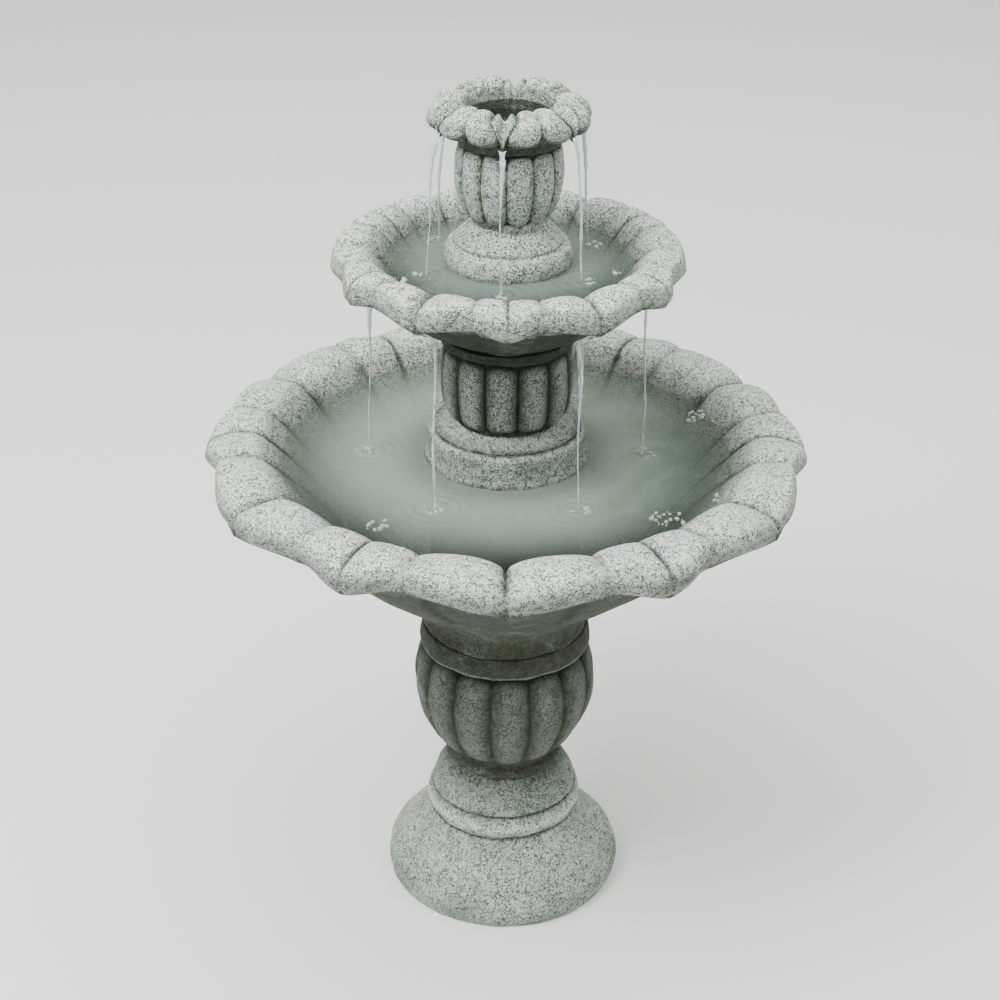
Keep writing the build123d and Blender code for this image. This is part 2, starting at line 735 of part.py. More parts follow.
shaft_start = pump_front - cover_plate + 1.3
shaft_end = well_end - 1.5
with BuildPart() as rotor_shaft:
    rod(shaft_radius, shaft_start, shaft_end)
save(rotor_shaft.part, "rotor_shaft")

magnet_start = well_start + 2
with BuildPart() as rotor_magnet:
    rod(magnet_radius, magnet_start, well_end - bush_length - 1)
    rod(shaft_radius, magnet_start, well_end - bush_length - 1, mode=Mode.SUBTRACT)
save(rotor_magnet.part, "rotor_magnet")

vanes = 6
vane_thickness = 1.5
hub_radius = 4.0
disc_thickness = 1.5
hub_start = pump_front + 2.5
disc_start = well_start - 4
with BuildPart() as impeller:
    rod(hub_radius, hub_start, magnet_start)
    rod(impeller_radius, disc_start, disc_start + disc_thickness)
    with BuildSketch(shaft_plane.offset(pump_front + 3.5)):
        with PolarLocations((impeller_radius + hub_radius) / 2, vanes):
            Rectangle(impeller_radius - hub_radius + 0.5, vane_thickness)
    extrude(amount=disc_start - pump_front - 3)
    rod(shaft_radius, hub_start, magnet_start, mode=Mode.SUBTRACT)
save(impeller.part, "impeller")

strainer_front = pump_front - strainer_depth
slots = 6
slot_width = 2.6
slot_pitch = 5.6
slot_height = 24.0
dial_height = pump_height / 2 - dial_radius - 3
with BuildPart() as strainer_cover:
    block(pump_width, pump_height, strainer_front, pump_front)
    fillet(strainer_cover.edges().filter_by(Axis.Y), radius=4)
    block(
        pump_width - 2 * strainer_wall,
        pump_height - 2 * strainer_wall,
        strainer_front + strainer_wall,
        pump_front,
        mode=Mode.SUBTRACT,
    )
    with BuildSketch(shaft_plane.offset(strainer_front)):
        with Locations((0, 5)):
            with GridLocations(slot_pitch, 1, slots, 1):
                SlotOverall(slot_height, slot_width, rotation=90)
    extrude(amount=strainer_wall, mode=Mode.SUBTRACT)
    dial_place = (0, strainer_front, pump_axis + dial_height)
    with BuildSketch(Plane(origin=dial_place, x_dir=(1, 0, 0), z_dir=(0, 1, 0))):
        Circle(dial_stem_radius + running_clearance)
    extrude(amount=strainer_wall, mode=Mode.SUBTRACT)
save(strainer_cover.part, "strainer_cover")

foam_gap = 0.3
with BuildPart() as filter_foam:
    block(
        pump_width - 2 * strainer_wall - 2 * foam_gap,
        pump_height - 2 * strainer_wall - 2 * foam_gap,
        strainer_front + strainer_wall + 4,
        pump_front - cover_plate - 1,
    )
save(filter_foam.part, "filter_foam")

with BuildPart() as flow_dial:
    with BuildSketch(Plane(origin=dial_place, x_dir=(1, 0, 0), z_dir=(0, -1, 0))):
        Circle(dial_radius)
    extrude(amount=3)
    with BuildSketch(Plane(origin=dial_place, x_dir=(1, 0, 0), z_dir=(0, 1, 0))):
        Circle(dial_stem_radius)
    extrude(amount=strainer_wall + 1.5)
    with Locations((0, strainer_front - 3.6, pump_axis + dial_height)):
        Box(1.6, 1.2, 2 * dial_radius - 2)
save(flow_dial.part, "flow_dial")

with BuildPart() as foot_cup:
    turn(
        [(foot_cup_radius - 1.5, 0), (foot_cup_radius, 0)],
        [(foot_cup_radius, 0), (4, foot_cup_height * 0.5), (4, foot_cup_height)],
        [(4, foot_cup_height), (foot_stem_radius, foot_cup_height)],
        [(foot_stem_radius, foot_cup_height), (foot_stem_radius, foot_cup_height + foot_stem_depth)],
        [(foot_stem_radius, foot_cup_height + foot_stem_depth), (0, foot_cup_height + foot_stem_depth)],
        [(0, foot_cup_height + foot_stem_depth), (0, foot_cup_height * 0.45)],
        [(0, foot_cup_height * 0.45), (foot_cup_radius - 1.5, 0)],
    )

with BuildPart() as suction_feet:
    for foot_x, foot_y in foot_places:
        with Locations((foot_x, foot_y, lower_floor)):
            add(foot_cup.part)
save(suction_feet.part, "suction_feet")

relief_place = (pump_half_width - 11, pump_back, pump_axis + pump_height / 2 - 12)
relief_length = 12.0
with BuildPart() as pump_cord_relief:
    with BuildSketch(Plane(origin=relief_place, x_dir=(1, 0, 0), z_dir=(0, 1, 0))):
        Circle(5.5)
    extrude(amount=relief_length, taper=4)
    with BuildSketch(Plane(origin=relief_place, x_dir=(1, 0, 0), z_dir=(0, 1, 0))):
        Circle(cord_bore_radius)
    extrude(amount=relief_length, mode=Mode.SUBTRACT)
save(pump_cord_relief.part, "pump_cord_relief")

# ======================= hose and rubber pieces =======================
nozzle_collar = 2.0
nozzle_barb = 20.0
nozzle_wall = 2.0
hose_start = pump_top + outlet_boss_height + nozzle_collar
hose_end = cup_floor + 6
outlet_low = pump_axis + volute_radius + 1.5

with BuildPart() as outlet_nozzle:
    with BuildSketch(Plane.XY.offset(outlet_low)):
        Circle(outlet_radius)
    extrude(amount=pump_top + outlet_boss_height - outlet_low)
    with BuildSketch(Plane.XY.offset(pump_top + outlet_boss_height)):
        Circle(outlet_boss_radius)
    extrude(amount=nozzle_collar)
    with BuildSketch(Plane.XY.offset(hose_start)):
        Circle(hose_bore_radius)
    extrude(amount=nozzle_barb)
    Cylinder(outlet_radius - nozzle_wall, 2 * crown_top, mode=Mode.SUBTRACT)
save(outlet_nozzle.part, "outlet_nozzle")

with BuildPart() as supply_hose:
    with BuildSketch(Plane.XY.offset(hose_start)):
        Circle(hose_radius)
        Circle(hose_bore_radius, mode=Mode.SUBTRACT)
    extrude(amount=hose_end - hose_start)
save(supply_hose.part, "supply_hose")

clamp_width = 6.0
clamp_band = 1.0
with BuildPart() as hose_clamp:
    with BuildSketch(Plane.XY.offset(hose_start + 6)):
        Circle(hose_radius + clamp_band)
        for ear_y in (-1.8, 1.8):
            with Locations((hose_radius + 4, ear_y)):
                Rectangle(9, clamp_band)
        Circle(hose_radius, mode=Mode.SUBTRACT)
    extrude(amount=clamp_width)
save(hose_clamp.part, "hose_clamp")

grommet_lip = 2.0
with BuildPart() as hose_grommet:
    with BuildSketch(Plane.XY.offset(top_vase_top - grommet_lip)):
        Circle(grommet_radius + 3)
    extrude(amount=grommet_lip)
    with BuildSketch(Plane.XY.offset(top_vase_top)):
        Circle(grommet_radius)
    extrude(amount=cup_floor_thickness)
    with BuildSketch(Plane.XY.offset(cup_floor)):
        Circle(grommet_radius + 3)
    extrude(amount=grommet_lip)
    Cylinder(hose_radius + 2 * running_clearance, 2 * crown_top, mode=Mode.SUBTRACT)
save(hose_grommet.part, "hose_grommet")

gland_lip = 4.0
gland_place = (gland_offset, 0)
with BuildPart() as cord_gland:
    with BuildSketch(Plane.XY.offset(lower_hollow_top - gland_lip)):
        with Locations(gland_place):
            Circle(gland_head_radius)
    extrude(amount=gland_lip)
    with BuildSketch(Plane.XY.offset(lower_hollow_top)):
        with Locations(gland_place):
            Circle(gland_radius)
    extrude(amount=bowl_floor_thickness)
    with BuildSketch(Plane.XY.offset(lower_floor)):
        with Locations(gland_place):
            Circle(gland_head_radius)
    extrude(amount=gland_lip)
    with Locations((*gland_place, lower_floor)):
        Cylinder(cord_bore_radius, 6 * bowl_floor_thickness, mode=Mode.SUBTRACT)
save(cord_gland.part, "cord_gland")

drain_place = polar(drain_distance, drain_bearing)
drain_head_height = 5.0
drain_clearance = 0.05
with BuildPart() as drain_plug:
    with BuildSketch(Plane.XY.offset(lower_hollow_top)):
        with Locations(drain_place):
            Circle(drain_radius - drain_clearance)
    extrude(amount=bowl_floor_thickness)
    with BuildSketch(Plane.XY.offset(lower_floor)):
        with Locations(drain_place):
            Circle(drain_head_radius)
    extrude(amount=drain_head_height)
    with Locations((*drain_place, lower_floor + drain_head_height + 4)):
        Box(12, 3, 8)
save(drain_plug.part, "drain_plug")
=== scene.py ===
"""A three-tier garden fountain of cast stone: sculpted castings, water and pump around a CAD frame."""

import math
from functools import wraps

import bpy
import numpy as np
from mathutils import Matrix, Vector


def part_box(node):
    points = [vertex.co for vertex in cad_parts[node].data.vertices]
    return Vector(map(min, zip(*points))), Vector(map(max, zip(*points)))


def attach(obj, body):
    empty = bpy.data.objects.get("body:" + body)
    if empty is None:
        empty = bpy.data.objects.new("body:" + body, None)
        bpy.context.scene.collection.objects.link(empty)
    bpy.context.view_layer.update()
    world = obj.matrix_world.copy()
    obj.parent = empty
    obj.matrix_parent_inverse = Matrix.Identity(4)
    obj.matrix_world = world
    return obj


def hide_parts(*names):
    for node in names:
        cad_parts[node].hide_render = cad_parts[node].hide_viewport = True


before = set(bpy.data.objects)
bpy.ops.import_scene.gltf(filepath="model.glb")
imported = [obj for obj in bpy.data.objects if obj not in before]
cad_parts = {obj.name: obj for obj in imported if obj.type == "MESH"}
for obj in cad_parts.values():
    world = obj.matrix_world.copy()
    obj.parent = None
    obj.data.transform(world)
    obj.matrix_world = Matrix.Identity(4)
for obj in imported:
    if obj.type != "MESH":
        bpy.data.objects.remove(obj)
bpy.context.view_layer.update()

bl_info = {
    "name": "Tiered Garden Fountain",
    "version": (1, 0, 0),
    "blender": (4, 5, 0),
    "location": "3D View > Sidebar > Fountain",
    "description": "Sculpts the castings, water and pump of a three-tier fountain around its frame",
    "category": "Add Mesh",
}

MM = 0.001


def frame_mm(node):
    """Lowest and highest corner of a frame node, in millimetres."""
    low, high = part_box(node)
    return [c / MM for c in low], [c / MM for c in high]


def top_of(node):
    """Height of a frame node's top, in millimetres."""
    return frame_mm(node)[1][2]


def bottom_of(node):
    """Height of a frame node's underside, in millimetres."""
    return frame_mm(node)[0][2]


def half_width(node):
    """Radius of a frame node that is centred on the fountain's axis, in millimetres."""
    low, high = frame_mm(node)
    return (high[0] - low[0]) / 2


# Levels and radii that the castings share with the frame, in millimetres.
FOOT_TOP = bottom_of("pedestal_vase")
BASIN_SEAT = bottom_of("lower_bowl")
BASIN_FLOOR = bottom_of("column_base")
BASIN_CREST = top_of("lower_bowl")
BASIN_TIP = half_width("lower_bowl")
COLUMN_NECK = bottom_of("column_vase")
MIDDLE_SEAT = bottom_of("middle_bowl")
MIDDLE_FLOOR = bottom_of("top_base")
MIDDLE_CREST = top_of("middle_bowl")
MIDDLE_TIP = half_width("middle_bowl")
TOP_NECK = bottom_of("top_vase")
CROWN_SEAT = bottom_of("crown")
CROWN_TIP = half_width("crown")


# ---------------------------------------------------------------- settings
def hex_colour(name, what, default):
    """A setting that holds a colour as six hex digits of sRGB."""
    return bpy.props.StringProperty(name=name, description=f"sRGB hex of {what}", default=default)


def length(name, description, default):
    """A setting that holds a length, in metres."""
    return bpy.props.FloatProperty(
        name=name, description=description, default=default, subtype="DISTANCE", unit="LENGTH"
    )


class FountainStone(bpy.types.PropertyGroup):
    """Shapes and colours of the castings."""

    segments: bpy.props.IntProperty(
        name="Segments",
        description="Steps around each large casting, a multiple of 24",
        default=384,
        min=96,
        max=768,
    )
    hand_wobble: length("Hand wobble", "How far the castings wander from a true turned shape", 1.1 * MM)
    light: hex_colour("Light stone", "the paler patches of the stone", "C3CFC4")
    body: hex_colour("Body stone", "the stone's body", "9FAD9F")
    pit: hex_colour("Pits", "the dirt in the pits", "20271F")
    # Grime in the grooves, and also painted shade under the bowls, on their inner walls and in the crown's
    # cup.
    patina: hex_colour("Patina", "the grime in the grooves", "1D261E")
    # Rubbed rims, and also painted top light: upward faces take this colour.
    worn_and_top_lit: hex_colour("Worn stone", "rubbed rims", "F0F8F2")
    # Stained stone, and also painted shade: undersides, vases and inner walls take this colour.
    stained_and_shaded: hex_colour("Old stone", "stained stone", "474B37")
    moss: hex_colour("Moss", "stained stone with moss", "2B2F20")
    rust: hex_colour("Tide stain", "brown tide stains", "646046")


class FountainWater(bpy.types.PropertyGroup):
    """Levels and colours of the water."""

    basin_drop: length("Basin drop", "Water level of the lower bowl below its crest", 27 * MM)
    middle_drop: length("Middle drop", "Water level of the middle bowl below its crest", 22 * MM)
    tint: hex_colour("Tint", "the lower bowl's milky water", "A9BAAF")
    algae: hex_colour("Algae", "water where algae gather", "7D937E")
    middle: hex_colour("Middle", "the middle bowl's water", "84958B")
    cup: hex_colour("Cup", "the shaded water in the crown", "141E16")


def water_levels():
    """Heights of the water in the lower bowl and in the middle bowl, in millimetres."""
    settings = bpy.context.scene.fountain_water
    return BASIN_CREST - settings.basin_drop / MM, MIDDLE_CREST - settings.middle_drop / MM


# ---------------------------------------------------------------- small helpers
def deselect_all():
    """Leaves edit mode and selects nothing."""
    if bpy.context.object and bpy.context.object.mode != "OBJECT":
        bpy.ops.object.mode_set(mode="OBJECT")
    bpy.ops.object.select_all(action="DESELECT")


def select_only(*pieces):
    """Selects these pieces and makes the first one active."""
    deselect_all()
    for piece in pieces:
        piece.select_set(True)
    bpy.context.view_layer.objects.active = pieces[0]


def set_origin_to_zero(piece):
    """Puts a piece's place into its mesh, so that its object sits at the origin."""
    select_only(piece)
    bpy.ops.object.transform_apply(location=True, rotation=True, scale=True)


def points_of(piece):
    """A piece's points, in metres, one row each."""
    flat = np.empty(len(piece.data.vertices) * 3)
    piece.data.vertices.foreach_get("co", flat)
    return flat.reshape(-1, 3)


def move_points(piece, xyz):
    """Puts a piece's points where the rows say, in metres."""
    piece.data.vertices.foreach_set("co", xyz.ravel())


def smooth_run(points, step):
    """Points about a step apart: on a straight line between two, or on a Catmull-Rom curve through more."""
    points = np.array(points, float)
    if len(points) == 2:
        count = max(int(np.linalg.norm(points[1] - points[0]) / step), 1)
        return [tuple(points[0] + (points[1] - points[0]) * i / count) for i in range(count + 1)]
    ends = [2 * points[0] - points[1], *points, 2 * points[-1] - points[-2]]
    line = [tuple(points[0])]
    for before, start, end, after in zip(ends, ends[1:], ends[2:], ends[3:]):
        count = max(int(np.linalg.norm(end - start) / step), 1)
        for i in range(1, count + 1):
            t = i / count
            blend = (
                2 * start
                + (end - before) * t
                + (2 * before - 5 * start + 4 * end - after) * t**2
                + (3 * start - before - 3 * end + after) * t**3
            ) / 2
            line.append(tuple(blend))
    return line


def outline(start, *runs):
    """A half-section of (radius, height) points in millimetres, from a start and the runs that go on from it.

    Each run is the step between its points and the places that it goes through, and it ends at the last.
    """
    line = [tuple(map(float, start))]
    for step, places in runs:
        line += smooth_run([line[-1], *places], step)[1:-1] + [tuple(map(float, places[-1]))]
    return np.array(line)


def spin_casting(name, line, segments):
    """Extrudes one point along a half-section and spins it about the fountain's axis, as on a lathe."""
    deselect_all()
    bpy.ops.mesh.primitive_plane_add(size=MM, location=(0, 0, 0))
    piece = bpy.context.object
    piece.name = name
    piece.data.name = name
    bpy.ops.object.mode_set(mode="EDIT")
    bpy.ops.mesh.select_mode(type="VERT")
    bpy.ops.mesh.select_all(action="SELECT")
    bpy.ops.mesh.merge(type="CENTER")
    bpy.ops.transform.translate(value=(line[0][0] * MM, 0, line[0][1] * MM))
    for start, end in zip(line, line[1:]):
        move = ((end[0] - start[0]) * MM, 0, (end[1] - start[1]) * MM)
        bpy.ops.mesh.extrude_region_move(TRANSFORM_OT_translate={"value": move})
    bpy.ops.mesh.select_all(action="SELECT")
    bpy.ops.mesh.spin(steps=segments, angle=2 * math.pi, center=(0, 0, 0), axis=(0, 0, 1))
    bpy.ops.mesh.select_all(action="SELECT")
    bpy.ops.mesh.remove_doubles(threshold=0.02 * MM)
    bpy.ops.mesh.normals_make_consistent(inside=False)
    bpy.ops.object.mode_set(mode="OBJECT")
    bpy.ops.object.shade_smooth()
    return piece


class Spun:
    """The points of a spun casting, in millimetres, with what its shape is worked out from."""

    def __init__(self, piece, line):
        xyz = points_of(piece) / MM
        count = len(xyz)
        self.piece = piece
        self.radius = np.hypot(xyz[:, 0], xyz[:, 1])
        self.height = xyz[:, 2].copy()
        self.bearing = np.degrees(np.arctan2(xyz[:, 0], -xyz[:, 1]))
        # The line's nearest point to each, found in parts so that the tables of distances stay small.
        places = np.stack([self.radius, self.height], axis=1)
        gaps = [((part[:, None] - line[None]) ** 2).sum(axis=2) for part in np.array_split(places, 40)]
        self.row = np.concatenate([gap.argmin(axis=1) for gap in gaps])
        ahead = np.gradient(line, axis=0)
        length = np.maximum(np.hypot(ahead[:, 0], ahead[:, 1]), 1e-6)
        # To the right of the way the line runs, which is out of the stone.
        self.out = np.stack([ahead[:, 1], -ahead[:, 0]], axis=1)[self.row] / length[self.row][:, None]
        self.along = np.concatenate([[0], np.cumsum(np.hypot(*np.diff(line, axis=0).T))])[self.row]
        self.grime = np.zeros(count)
        self.wear = np.zeros(count)
        self.damp = np.zeros(count)
        self.age = np.zeros(count)

    def push(self, amount):
        """Moves the surface out, or in where the amount is negative."""
        self.radius = self.radius + self.out[:, 0] * amount
        self.height = self.height + self.out[:, 1] * amount

    def wobble(self, amount, seed):
        """Wanders off the true turned shape, as a hand-finished mould does."""
        angle = np.radians(self.bearing)
        drift = (
            np.sin(3 * angle + self.height / 37 + seed)
            + np.sin(5 * angle - self.height / 23 + 2.1 * seed)
            + 0.7 * np.sin(11 * angle + self.height / 11 + 3.7 * seed)
            + 0.6 * np.sin(17 * angle - self.height / 7 + self.radius / 9 + 1.3 * seed)
        )
        on_ground = ramp(self.height, 0, 8)
        self.push(drift * amount / 2.2 * ramp(self.radius, 20, 40) * on_ground)

    def store(self):
        """Writes the points back, with the weathering, painted shade and painted top light as attributes."""
        angle = np.radians(self.bearing)
        xyz = np.stack([self.radius * np.sin(angle), -self.radius * np.cos(angle), self.height], axis=1) * MM
        move_points(self.piece, xyz)
        mesh = self.piece.data
        weather_and_painted_light = mesh.attributes.new("weather_and_painted_light", "FLOAT_COLOR", "POINT")
        values = np.stack([self.grime, self.wear, self.damp, np.ones(len(xyz))], axis=1)
        weather_and_painted_light.data.foreach_set("color", np.clip(values, 0, 1).ravel())
        age = mesh.attributes.new("age", "FLOAT", "POINT")
        age.data.foreach_set("value", np.clip(self.age, 0, 1))
        mesh.update()


def ramp(value, start, end):
    """0 before start, 1 after end and smooth between them; start may be the larger."""
    t = np.clip((value - start) / (end - start), 0, 1)
    return t * t * (3 - 2 * t)


def bell(value, middle, width):
    """1 at the middle, and nearly 0 at twice the width to either side."""
    return np.exp(-(((value - middle) / width) ** 2))


def cushion(place, power):
    """Height of a rounded pad, 1 in its middle and 0 at its two edges at -1 and 1."""
    return np.clip(1 - np.abs(place) ** power, 0, 1) ** (1 / power)


def gadroons(spun, count, first, low, high, rise):
    """Round-ended ribs side by side round a vase, raised from its base line between two heights."""
    zone = (spun.height > low) & (spun.height < high) & (spun.out[:, 0] > 0.2)
    start = spun.along[zone].min()
    end = spun.along[zone].max()
    across = ((spun.bearing - first) * count / 360 + 0.5) % 1 * 2 - 1
    rounding = 0.8 * math.pi * spun.radius / count
    past = np.maximum(np.abs(spun.along - (start + end) / 2) - ((end - start) / 2 - rounding), 0) / rounding
    corner = (np.abs(across) ** 3 + past**3) ** (1 / 3)
    pad = np.where(zone, cushion(np.minimum(corner, 1), 2.6), 0)
    spun.push(rise * pad)
    spun.grime = np.maximum(spun.grime, np.where(zone, (1 - pad) ** 1.3, 0))
    spun.wear = np.maximum(spun.wear, 0.45 * pad**6)


# ---------------------------------------------------------------- lobed rims
WIDE_LOBE = 18.6  # degrees; with the narrow lobe beside it, half of the 60 degree repeat
HALF_REPEAT = 30.0
REPEAT = 60.0


def lobe_place(bearing, first):
    """How far round the mirrored half-repeat a bearing lies: 0 at a spout, 30 between two narrow lobes."""
    turn = (bearing - first) % REPEAT
    return np.minimum(turn, REPEAT - turn)


def lobe_depth(place, spout, side, pair):
    """Depth of the rim below the tops of its lobes, and how near a crease between two lobes is."""
    wide = place < WIDE_LOBE
    start = np.where(wide, 0, WIDE_LOBE)
    end = np.where(wide, WIDE_LOBE, HALF_REPEAT)
    t = np.clip((place - start) / (end - start), 0, 1)
    left = np.where(wide, spout, side)
    right = np.where(wide, side, pair)
    pad = cushion(2 * t - 1, np.where(wide & (t < 0.5), 1.9, 2.2))
    return (left + (right - left) * t) * (1 - pad), (1 - pad) ** 1.8


def scalloped_rim(spun, first, tip, crest, water, sizes):
    """Shapes a bowl's rim: grooved lobes across its crest, a rolled edge and petals under it."""
    crest_radius = tip * sizes["crest_at"]
    place = lobe_place(spun.bearing, first)
    rim = spun.height > crest - sizes["rim_depth"]
    top = (spun.out[:, 1] > 0.05) & (spun.height > crest - 2 * sizes["rim_depth"])
    edge = np.where(rim, np.clip((spun.radius - crest_radius) / (tip - crest_radius), 0, 1), 0)
    depth, crease = lobe_depth(place, sizes["spout"], sizes["side"], sizes["pair"])
    fading = np.interp(spun.radius / crest_radius, [0.42, 0.6, 0.8, 0.92, 1], [0, 0.4, 0.6, 0.8, 1])
    weight = np.where(top, np.where(spun.radius < crest_radius, fading, 1 - 0.45 * edge**2), 0)
    face = ~top & rim & (spun.out[:, 0] > 0.5)
    weight = np.where(face, 0.5, weight)
    under = ~top & rim & ~face
    spun.push(-depth * weight)
    spun.height = spun.height - np.where(under, depth * 0.2 * edge, 0)
    spun.grime = np.maximum(spun.grime, crease * np.where(top | face, 0.85 * weight, 0.6 * under))
    # Wear, and partly painted top light: upward faces of the rim lighten towards the crest.
    bleached_and_top_lit = ramp(spun.out[:, 1], 0.1, 0.8) * ramp(fading, 0.5, 1) * (1 - crease) * top
    spun.wear = np.maximum(spun.wear, bleached_and_top_lit)
    # The edge: drawn out at the tips, short and high between them.
    valley = sizes["valley_place"]
    toward_spout = np.clip((valley - place) / valley, 0, 1)
    toward_pair = ramp(place, valley, HALF_REPEAT)
    short = 1 - 0.55 * ramp(toward_spout, 0, 1) - 0.45 * toward_spout**1.4 - toward_pair
    spun.radius = spun.radius - edge * short * sizes["valley_short"]
    spun.height = spun.height + edge**1.4 * short * sizes["valley_lift"]
    # Petals moulded on the underside, below each pair of narrow lobes.
    outside = ~top & ~rim & (spun.out[:, 1] < 0.3) & (spun.radius > sizes["foot_radius"] - 6)
    below = outside & (spun.radius > sizes["petal_end"] - 8)
    half = (HALF_REPEAT - WIDE_LOBE) * math.pi / 180 * spun.radius
    from_pair = (HALF_REPEAT - place) * math.pi / 180 * spun.radius
    past = np.maximum(sizes["petal_end"] + half - spun.radius, 0)
    reach = np.hypot(from_pair, past) / half
    spun.push(below * (1 - ramp(reach, 0.86, 1.04)) * sizes["petal_rise"])
    outline_dirt = bell(reach, 1, 0.13)
    spun.grime = np.maximum(spun.grime, below * (0.15 + 0.6 * outline_dirt))
    # Painted shade: the undersides, and the rim's underside, darken towards the rim with the patina colour.
    shaded = (outside | under) * ramp(spun.radius, sizes["foot_radius"], sizes["foot_radius"] + 60)
    spun.grime = np.maximum(spun.grime, 0.45 * shaded)
    # Staining and painted shade: dark underneath, less on the rim's outer face. Damp: wet at the water line
    # and in the spouts.
    spun.age = np.where(outside, 1.0, np.where(under, 0.75, np.where(face, 0.25, 0.0)))
    wet_line = bell(spun.height, water, 9) * top
    spout_wet = ramp(place, 4, 1) * top * ramp(fading, 0.4, 1)
    spun.damp = np.maximum(np.maximum(wet_line, spout_wet), ((spun.height < water) & top).astype(float))
    # Painted shade: the inner walls darken inwards from the crest, and more in the flutes.
    walls = (spun.out[:, 1] > 0.05) & (spun.radius < crest_radius) & (spun.height > sizes["floor_height"])
    inward = ramp(spun.radius, crest_radius - 2, crest_radius - 24)
    spun.age = np.where(walls, sizes["wall_age"] * inward, spun.age)
    flutes = crease * ramp(spun.radius, sizes["floor_radius"], sizes["floor_radius"] + 60)
    spun.grime = np.maximum(spun.grime, np.maximum(wet_line * 0.35, (0.26 + 0.6 * flutes) * walls * inward))


def bowl_line(tip, crest, floor, seat, sizes, start, under_runs, inside_runs):
    """Half-section of a bowl: up its underside, over the lip and the crest, and down inside to its middle."""
    crest_radius = tip * sizes["crest_at"]
    wall = tip * sizes["wall_at"]
    flat = sizes["floor_radius"]
    lip = sizes["lip"]
    edge = crest - sizes["lip_drop"]
    level = crest - sizes["wall_drop"]
    foot = sizes["foot_radius"]
    reach = tip - crest_radius
    slope = crest_radius - wall
    underside = [
        (foot, seat + sizes["under_start"] * 0.45),
        (foot + 22, seat + sizes["under_start"]),
        (tip * 0.63, floor + sizes["under_rise"]),
        (crest_radius - lip * 0.5, edge - lip * 1.6),
    ]
    over_the_lip = [
        (crest_radius + lip * 0.2, edge - lip * 0.75),
        (crest_radius + lip * 1.4, edge - lip * 0.55),
        (tip - lip * 1.6, edge - lip * 0.85),
        (tip - lip * 0.7, edge - lip * 0.8),
        (tip - lip * 0.08, edge - lip * 0.1),
        (tip - lip * 0.1, edge + lip * 0.7),
        (crest_radius + reach * 0.86, edge + (crest - edge) * 0.62),
        (crest_radius + reach * 0.6, crest - (crest - edge) * 0.16),
        (crest_radius + reach * 0.3, crest - (crest - edge) * 0.02),
        (crest_radius, crest),
        (crest_radius - slope * 0.3, crest - (crest - level) * 0.12),
        (crest_radius - slope * 0.65, crest - (crest - level) * 0.5),
        (wall, level),
    ]
    down_inside = [
        (flat + (wall - flat) * 0.72, floor + (level - floor) * 0.72),
        (flat + (wall - flat) * 0.42, floor + (level - floor) * 0.4),
        (flat + (wall - flat) * 0.15, floor + (level - floor) * 0.1),
        (flat, floor + 1),
    ]
    standing_ring = [(foot, seat)]
    runs = ((6, standing_ring), (4, underside), (2.1, over_the_lip), (3.4, down_inside))
    return outline(start, *under_runs, *runs, *inside_runs)


BASIN_SIZES = {
    "crest_at": 0.846,
    "wall_at": 0.738,
    "floor_radius": 134.0,
    "floor_height": BASIN_FLOOR - 5,
    "wall_age": 0.7,
    "lip": 11.0,
    "lip_drop": 33.0,
    "wall_drop": 26.0,
    "foot_radius": 98.0,
    "under_rise": 43.0,
    "under_start": 50.0,
    "rim_depth": 52.0,
    "spout": 19.0,
    "side": 10.0,
    "pair": 7.0,
    "valley_place": 20.0,
    "valley_short": 13.0,
    "valley_lift": 13.0,
    "petal_end": 150.0,
    "petal_rise": 4.5,
}
MIDDLE_SIZES = {
    "crest_at": 0.832,
    "wall_at": 0.685,
    "floor_radius": 96.0,
    "floor_height": MIDDLE_FLOOR - 5,
    "wall_age": 0.4,
    "lip": 8.0,
    "lip_drop": 29.0,
    "wall_drop": 22.0,
    "foot_radius": 72.0,
    "under_rise": 2.0,
    "under_start": 13.0,
    "rim_depth": 42.0,
    "spout": 14.0,
    "side": 6.5,
    "pair": 4.5,
    "valley_place": 19.0,
    "valley_short": 9.0,
    "valley_lift": 9.0,
    "petal_end": 100.0,
    "petal_rise": 3.5,
}


def bore(piece, *cutters):
    """Cuts holes through a casting with closed cutters, which are then thrown away."""
    for cutter in cutters:
        select_only(piece)
        cut = piece.modifiers.new("bore", "BOOLEAN")
        cut.operation = "DIFFERENCE"
        cut.solver = "MANIFOLD"
        cut.object = cutter
        bpy.ops.object.modifier_apply(modifier=cut.name)
        bpy.data.objects.remove(cutter)


def round_cutter(node, radius):
    """Upright cylinder round a frame node, for the hole that the node sits in."""
    low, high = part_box(node)
    centre = [(a + b) / 2 for a, b in zip(low, high)]
    deselect_all()
    bpy.ops.mesh.primitive_cylinder_add(vertices=32, radius=radius * MM, depth=80 * MM, location=centre)
    return bpy.context.object


def arch_cutter(bearing, distance, base, width, height):
    """Lying cylinder, flattened to an arch, that cuts a doorway through a wall at a bearing."""
    angle = math.radians(bearing)
    place = (distance * math.sin(angle) * MM, -distance * math.cos(angle) * MM, base * MM)
    deselect_all()
    bpy.ops.mesh.primitive_cylinder_add(
        vertices=40, radius=width / 2 * MM, depth=70 * MM, location=place, rotation=(math.pi / 2, 0, angle)
    )
    cutter = bpy.context.object
    cutter.scale = (1, 2 * height / width, 1)
    return cutter


# ---------------------------------------------------------------- materials
def linear(hex_colour):
    """Linear RGBA of an sRGB hex colour."""
    parts = [int(hex_colour[i : i + 2], 16) / 255 for i in (0, 2, 4)]
    return tuple(c / 12.92 if c <= 0.04045 else ((c + 0.055) / 1.055) ** 2.4 for c in parts) + (1.0,)


